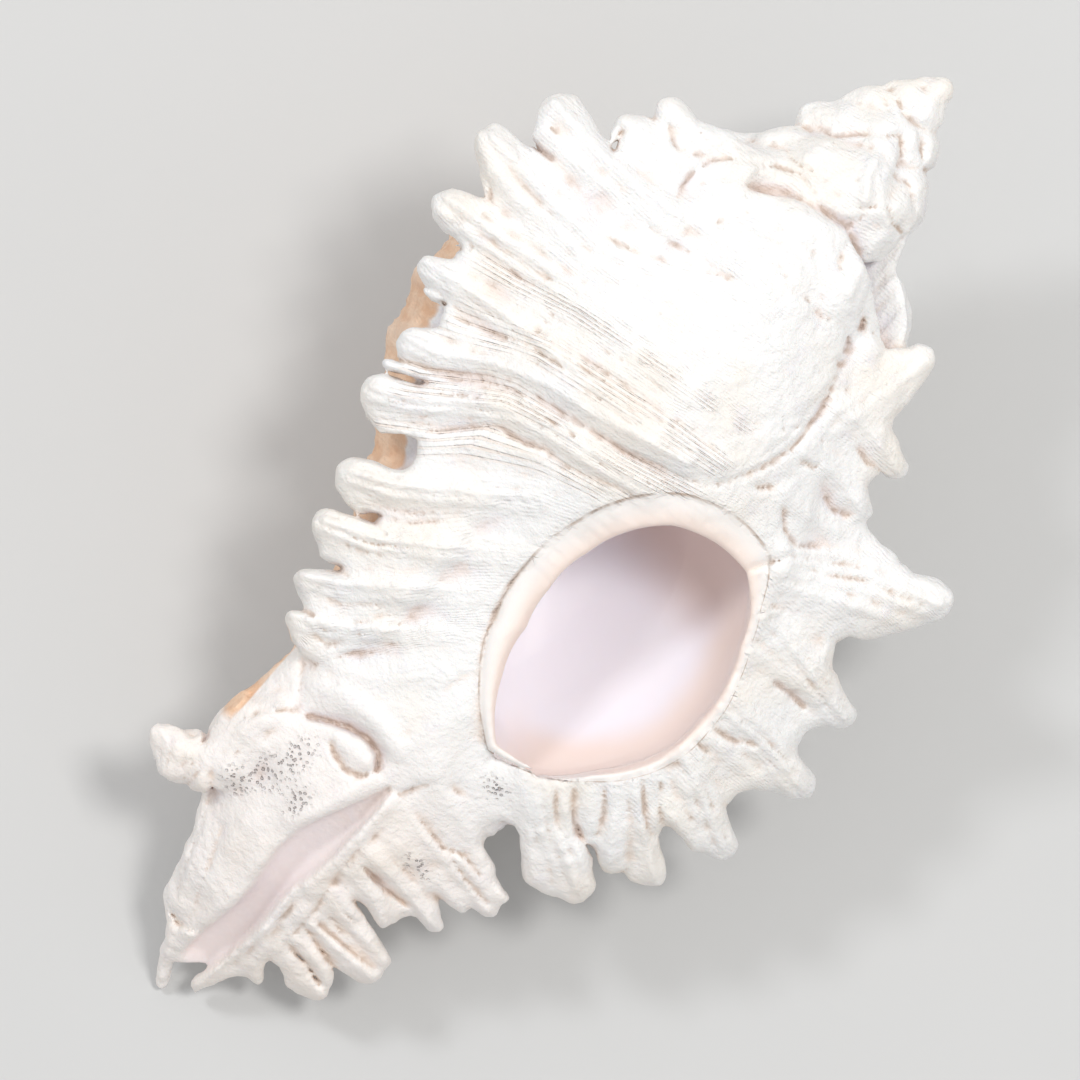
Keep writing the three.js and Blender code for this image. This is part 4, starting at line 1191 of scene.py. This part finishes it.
# ---- materials
class Nodes:
    """Short ways to add nodes to a material."""

    def __init__(self, material):
        material.use_nodes = True
        self.tree = material.node_tree
        self.tree.nodes.clear()

    def add(self, kind, **values):
        """A new node with some of its settings."""
        node = self.tree.nodes.new(kind)
        for name, value in values.items():
            setattr(node, name, value)
        return node

    def put(self, value, socket):
        """Links an output to a socket, or sets the socket to a number or colour."""
        if isinstance(value, bpy.types.NodeSocket):
            self.tree.links.new(value, socket)
        else:
            socket.default_value = value

    def named(self, name):
        """A mask that the mesh carries."""
        return self.add("ShaderNodeAttribute", attribute_name=name).outputs["Fac"]

    def math(self, operation, a, b=0.0, clamp=False):
        node = self.add("ShaderNodeMath", operation=operation, use_clamp=clamp)
        self.put(a, node.inputs[0])
        self.put(b, node.inputs[1])
        return node.outputs[0]

    def times(self, a, *others):
        for b in others:
            a = self.math("MULTIPLY", a, b)
        return a

    def plus(self, a, b):
        return self.math("ADD", a, b)

    def less(self, a, b, clamp=False):
        return self.math("SUBTRACT", a, b, clamp)

    def waves(self, value, pitch):
        """A sine wave of that pitch along a value."""
        return self.math("SINE", self.times(value, 2 * np.pi / pitch))

    def mix(self, share, a, b):
        """Colour a with a share of colour b over it."""
        node = self.add("ShaderNodeMix", data_type="RGBA")
        self.put(share, node.inputs[0])
        self.put(a, node.inputs[6])
        self.put(b, node.inputs[7])
        return node.outputs[2]

    def noise(self, scale, detail=3.0, roughness=0.55, distortion=0.0):
        """Noise with that many cells per millimetre."""
        place = self.add("ShaderNodeTexCoord").outputs["Object"]
        node = self.add("ShaderNodeTexNoise")
        self.put(place, node.inputs["Vector"])
        self.put(scale / MM, node.inputs["Scale"])
        self.put(detail, node.inputs["Detail"])
        self.put(roughness, node.inputs["Roughness"])
        self.put(distortion, node.inputs["Distortion"])
        return node.outputs["Fac"]

    def cells(self, scale):
        """Distance from the middles of random cells, that many to the millimetre."""
        place = self.add("ShaderNodeTexCoord").outputs["Object"]
        node = self.add("ShaderNodeTexVoronoi")
        self.put(place, node.inputs["Vector"])
        self.put(scale / MM, node.inputs["Scale"])
        return node.outputs["Distance"]

    def between(self, value, low, high):
        """0 where a value is low, 1 where it is high, and smooth between."""
        node = self.add("ShaderNodeMapRange", interpolation_type="SMOOTHSTEP")
        self.put(value, node.inputs["Value"])
        self.put(low, node.inputs["From Min"])
        self.put(high, node.inputs["From Max"])
        return node.outputs["Result"]

    def bump(self, height, distance, under=None):
        """Relief that is that many millimetres high, over other relief."""
        node = self.add("ShaderNodeBump")
        self.put(height, node.inputs["Height"])
        self.put(distance * MM, node.inputs["Distance"])
        if under is not None:
            self.put(under, node.inputs["Normal"])
        return node.outputs["Normal"]

    def surface(self, **inputs):
        """The material's one surface, from its inputs' names and values."""
        shader = self.add("ShaderNodeBsdfPrincipled")
        for name, value in inputs.items():
            self.put(value, shader.inputs[name.replace("_", " ")])
        out = self.add("ShaderNodeOutputMaterial")
        self.put(shader.outputs["BSDF"], out.inputs["Surface"])


# The colours: red, green, blue and opacity.
WHITE = (0.87, 0.86, 0.85, 1)
CREAM = (0.86, 0.79, 0.7, 1)
PEACH = (0.82, 0.66, 0.55, 1)
LILAC = (0.72, 0.69, 0.78, 1)
BROWN = (0.4, 0.27, 0.18, 1)
TAN = (0.74, 0.46, 0.29, 1)
SAND = (0.86, 0.6, 0.42, 1)
RIM = (0.9, 0.86, 0.83, 1)
BLUSH = (0.93, 0.78, 0.7, 1)
NACRE = (0.92, 0.89, 0.95, 1)
# MAUVE is the painted shade towards the top of the mouth's inside.
MAUVE = (0.74, 0.6, 0.56, 1)
PORE = (0.36, 0.31, 0.3, 1)
FLOOR_TONES = (0.57, 0.57, 0.565, 1), (0.6, 0.6, 0.595, 1)
# How far apart the finest threads and the dark lines of a bundle are, where the threads run, in millimetres.
FINE_PITCH, BUNDLE_PITCH = 0.31, 0.4
RIM_CREASE_SHADOW = 2.1  # where the thin painted shadow of the crease round the rim is, in widths of the rim


def white_colour(n, broad, patches, drawn, pore):
    """The chalky outside: cream and lilac patches, peach bundles of fine lines and grey pores, with painted
    shade: lilac in broad hollows, peach in crevices, and brown in the cracks and in a thin line round the
    rim.
    """
    colour = n.mix(n.times(n.between(broad, 0.42, 0.68), 0.55), WHITE, CREAM)
    colour = n.mix(n.times(n.between(patches, 0.55, 0.75), 0.25), colour, LILAC)
    colour = n.mix(n.times(n.named("low"), 0.25), colour, BLUSH)
    # Lilac in broad hollows: painted shade.
    colour = n.mix(n.times(n.named("shade"), 0.45), colour, LILAC)
    colour = n.mix(n.times(drawn, 0.4), colour, PEACH)
    # Peach in crevices, in patches: painted shade.
    colour = n.mix(n.times(n.named("painted_crevice_shade"), n.between(patches, 0.2, 0.55), 0.45), colour, PEACH)
    # Brown in the deepest cracks, less on the back: painted shade.
    colour = n.mix(n.times(n.named("painted_crack_shade"), 0.55), colour, BROWN)
    # A thin brown line round the rim's outside, broken by patches: painted shadow of a crease there.
    line = n.between(n.math("ABSOLUTE", n.less(n.named("edge"), RIM_CREASE_SHADOW)), 0.16, 0.04)
    colour = n.mix(n.times(line, n.between(patches, 0.35, 0.6)), colour, BROWN)
    colour = n.mix(n.times(n.named("pores"), 0.12), colour, PORE)
    return n.mix(n.times(pore, 0.7), colour, PORE)


def tan_colour(n, patches):
    """The older wall, paler along its cords."""
    tan = n.mix(n.between(patches, 0.35, 0.65), TAN, SAND)
    return n.mix(n.times(n.named("cord"), 0.35), tan, CREAM)


def worn_share(n, broad):
    """How much the tan wall shows, with streaked edges."""
    streaks = n.plus(n.times(broad, 0.9), n.times(n.noise(0.35, 3, 0.6, 1.0), 0.5))
    return n.between(n.plus(n.named("back"), n.times(streaks, 0.55)), 0.75, 1.2)


def inside_colour(n):
    """The smooth inside of the mouth and the channel, with mauve painted shade towards the top of the mouth
    and a little of it below y 31.
    """
    # Mauve towards the top of the mouth's inside is painted shade.
    nacre = n.mix(n.named("throat_shade"), NACRE, MAUVE)
    return n.mix(n.times(n.named("wall_side"), 0.9), nacre, BLUSH)


def shell_relief(n, grain, patches, drawn, pore, plain):
    """Relief finer than the mesh: threads, bundles of lines, pores and grain, where it isn't smooth."""
    thread = n.named("thread")
    wander = n.plus(thread, n.times(n.noise(0.35, 2), 1.2))
    lines = n.times(n.waves(wander, FINE_PITCH), n.between(patches, 0.35, 0.6))
    lines = n.times(lines, n.between(thread, 50.0, 44.0))
    normal = n.bump(n.times(lines, plain), 0.012)
    normal = n.bump(n.less(1.0, drawn), 0.09, normal)
    normal = n.bump(n.less(1.0, pore), 0.2, normal)
    normal = n.bump(n.times(n.noise(0.9, 5, 0.6), plain), 0.3, normal)
    return n.bump(n.times(grain, plain), 0.08, normal)


def shell_material():
    """Chalky white with a smooth rim and inside, and tan where the older wall shows."""
    material = bpy.data.materials.new("murex shell")
    n = Nodes(material)
    broad, patches, grain = n.noise(0.09), n.noise(0.5), n.noise(2.5, 4)
    drawn = n.between(n.waves(n.named("thread"), BUNDLE_PITCH), 0.1, 0.9)
    drawn = n.times(n.named("bundle"), drawn, n.between(n.noise(0.25, 2), 0.3, 0.65))
    pore = n.times(n.named("pores"), n.between(n.cells(2.6), 0.42, 0.25))
    smooth = n.math("MAXIMUM", n.named("inside"), n.named("rim"))

    colour = white_colour(n, broad, patches, drawn, pore)
    colour = n.mix(worn_share(n, broad), colour, tan_colour(n, patches))
    rim_colour = n.mix(n.between(n.named("edge"), 0.1, 1.7), BLUSH, RIM)
    colour = n.mix(n.times(n.named("rim"), 0.9), colour, rim_colour)
    n.surface(
        Base_Color=n.mix(n.named("inside"), colour, inside_colour(n)),
        Roughness=n.less(n.plus(0.45, n.times(grain, 0.3)), n.times(smooth, 0.12)),
        Normal=shell_relief(n, grain, patches, drawn, pore, n.less(1.0, smooth, clamp=True)),
        Subsurface_Weight=0.12,
        Subsurface_Radius=(1.0, 0.75, 0.6),
        Subsurface_Scale=1.2 * MM,
    )
    return material


def floor_material():
    material = bpy.data.materials.new("pale floor")
    n = Nodes(material)
    n.surface(Base_Color=n.mix(n.noise(0.02), *FLOOR_TONES), Roughness=0.8)
    return material


# ---- the shell, the floor, the light, the camera
FLOOR_SIDE = 6.0
LIGHT_AIM = Vector((0, 0, 0.015))
# Soft lights: how far to the picture's right and up, height, side, power and colour.
LIGHTS = {
    "key": (0.26, 0.12, 0.86, 0.15, 3.3, (1, 0.985, 0.965)),
    "fill": (-0.36, 0.4, 0.8, 0.14, 2.2, (0.95, 0.97, 1)),
}
WORLD_STRENGTH = 0.67
CAMERA_HEIGHT = 0.7
CAMERA_RIGHT = Vector((0.757, 0.653, 0))
CAMERA_UP = Vector((-0.653, 0.757, 0))
SENSOR_WIDTH = 36
PICTURE_WIDTH = 0.0846  # across the shell's middle level
PICTURE_CENTRE = Vector((-0.0026, 0.0001, 0.02))


def make_shell():
    """The shell's mesh in the row frame, with its masks and its material."""
    grid = build()
    points, faces = surface(grid)
    piece = mesh_object("shell_body", (raise_axis(points) - FRAME_ORIGIN) * MM, faces)
    thin_out(piece, TRIANGLES)
    mesh = piece.data
    placed = np.empty(3 * len(mesh.vertices), np.float32)
    mesh.vertices.foreach_get("co", placed)
    placed = placed.reshape(-1, 3) / MM + FRAME_ORIGIN
    placed[:, 2] -= AXIS_RISE * (placed[:, 1] - AXIS_LEVEL_Y)
    for name, values in shell_masks(placed, grid).items():
        layer = mesh.attributes.new(name, "FLOAT", "POINT")
        layer.data.foreach_set("value", np.asarray(values, np.float32))
    mesh.shade_smooth()
    mesh.materials.append(shell_material())
    return piece


def make_floor():
    half = FLOOR_SIDE / 2
    corners = np.array([[-half, -half, 0], [half, -half, 0], [half, half, 0], [-half, half, 0]])
    floor = mesh_object("floor", corners, np.array([[0, 1, 2, 3]]))
    floor.data.materials.append(floor_material())


def add_light(name, right, up, height, size, power, tint):
    """A square soft light, aimed at the middle of the shell."""
    lamp = bpy.data.lights.new(name, "AREA")
    lamp.size = size
    lamp.energy = power
    lamp.color = tint
    holder = bpy.data.objects.new(name, lamp)
    holder.location = CAMERA_RIGHT * right + CAMERA_UP * up + Vector((0, 0, height))
    holder.rotation_euler = (LIGHT_AIM - holder.location).to_track_quat("-Z", "Y").to_euler()
    bpy.context.scene.collection.objects.link(holder)


def light_the_scene():
    """An even white surround and the soft lights."""
    world = bpy.data.worlds.new("studio")
    world.use_nodes = True
    surround = world.node_tree.nodes["Background"]
    surround.inputs["Color"].default_value = (1, 1, 1, 1)
    surround.inputs["Strength"].default_value = WORLD_STRENGTH
    bpy.context.scene.world = world
    bpy.context.scene.view_settings.view_transform = "Standard"
    for name, row in LIGHTS.items():
        add_light(name, *row)


def make_camera():
    """Looks straight down on the mouth, with the spire towards the picture's upper right corner."""
    lens = bpy.data.cameras.new("camera")
    lens.sensor_width = SENSOR_WIDTH
    lens.lens = SENSOR_WIDTH * CAMERA_HEIGHT / PICTURE_WIDTH
    camera = bpy.data.objects.new("camera", lens)
    turn = Matrix((CAMERA_RIGHT, CAMERA_UP, Vector((0, 0, 1)))).transposed()
    place = PICTURE_CENTRE + Vector((0, 0, CAMERA_HEIGHT))
    camera.matrix_world = Matrix.Translation(place) @ turn.to_4x4()
    bpy.context.scene.collection.objects.link(camera)
    bpy.context.scene.camera = camera


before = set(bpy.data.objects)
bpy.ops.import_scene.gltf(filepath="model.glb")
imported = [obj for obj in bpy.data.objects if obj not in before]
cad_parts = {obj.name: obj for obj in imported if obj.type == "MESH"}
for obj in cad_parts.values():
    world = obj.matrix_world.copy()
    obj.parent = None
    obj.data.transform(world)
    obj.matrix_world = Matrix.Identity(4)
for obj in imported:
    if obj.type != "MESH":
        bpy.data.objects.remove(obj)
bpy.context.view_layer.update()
shell = make_shell()
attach(shell, "root")
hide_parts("shell")
make_floor()
light_the_scene()
make_camera()
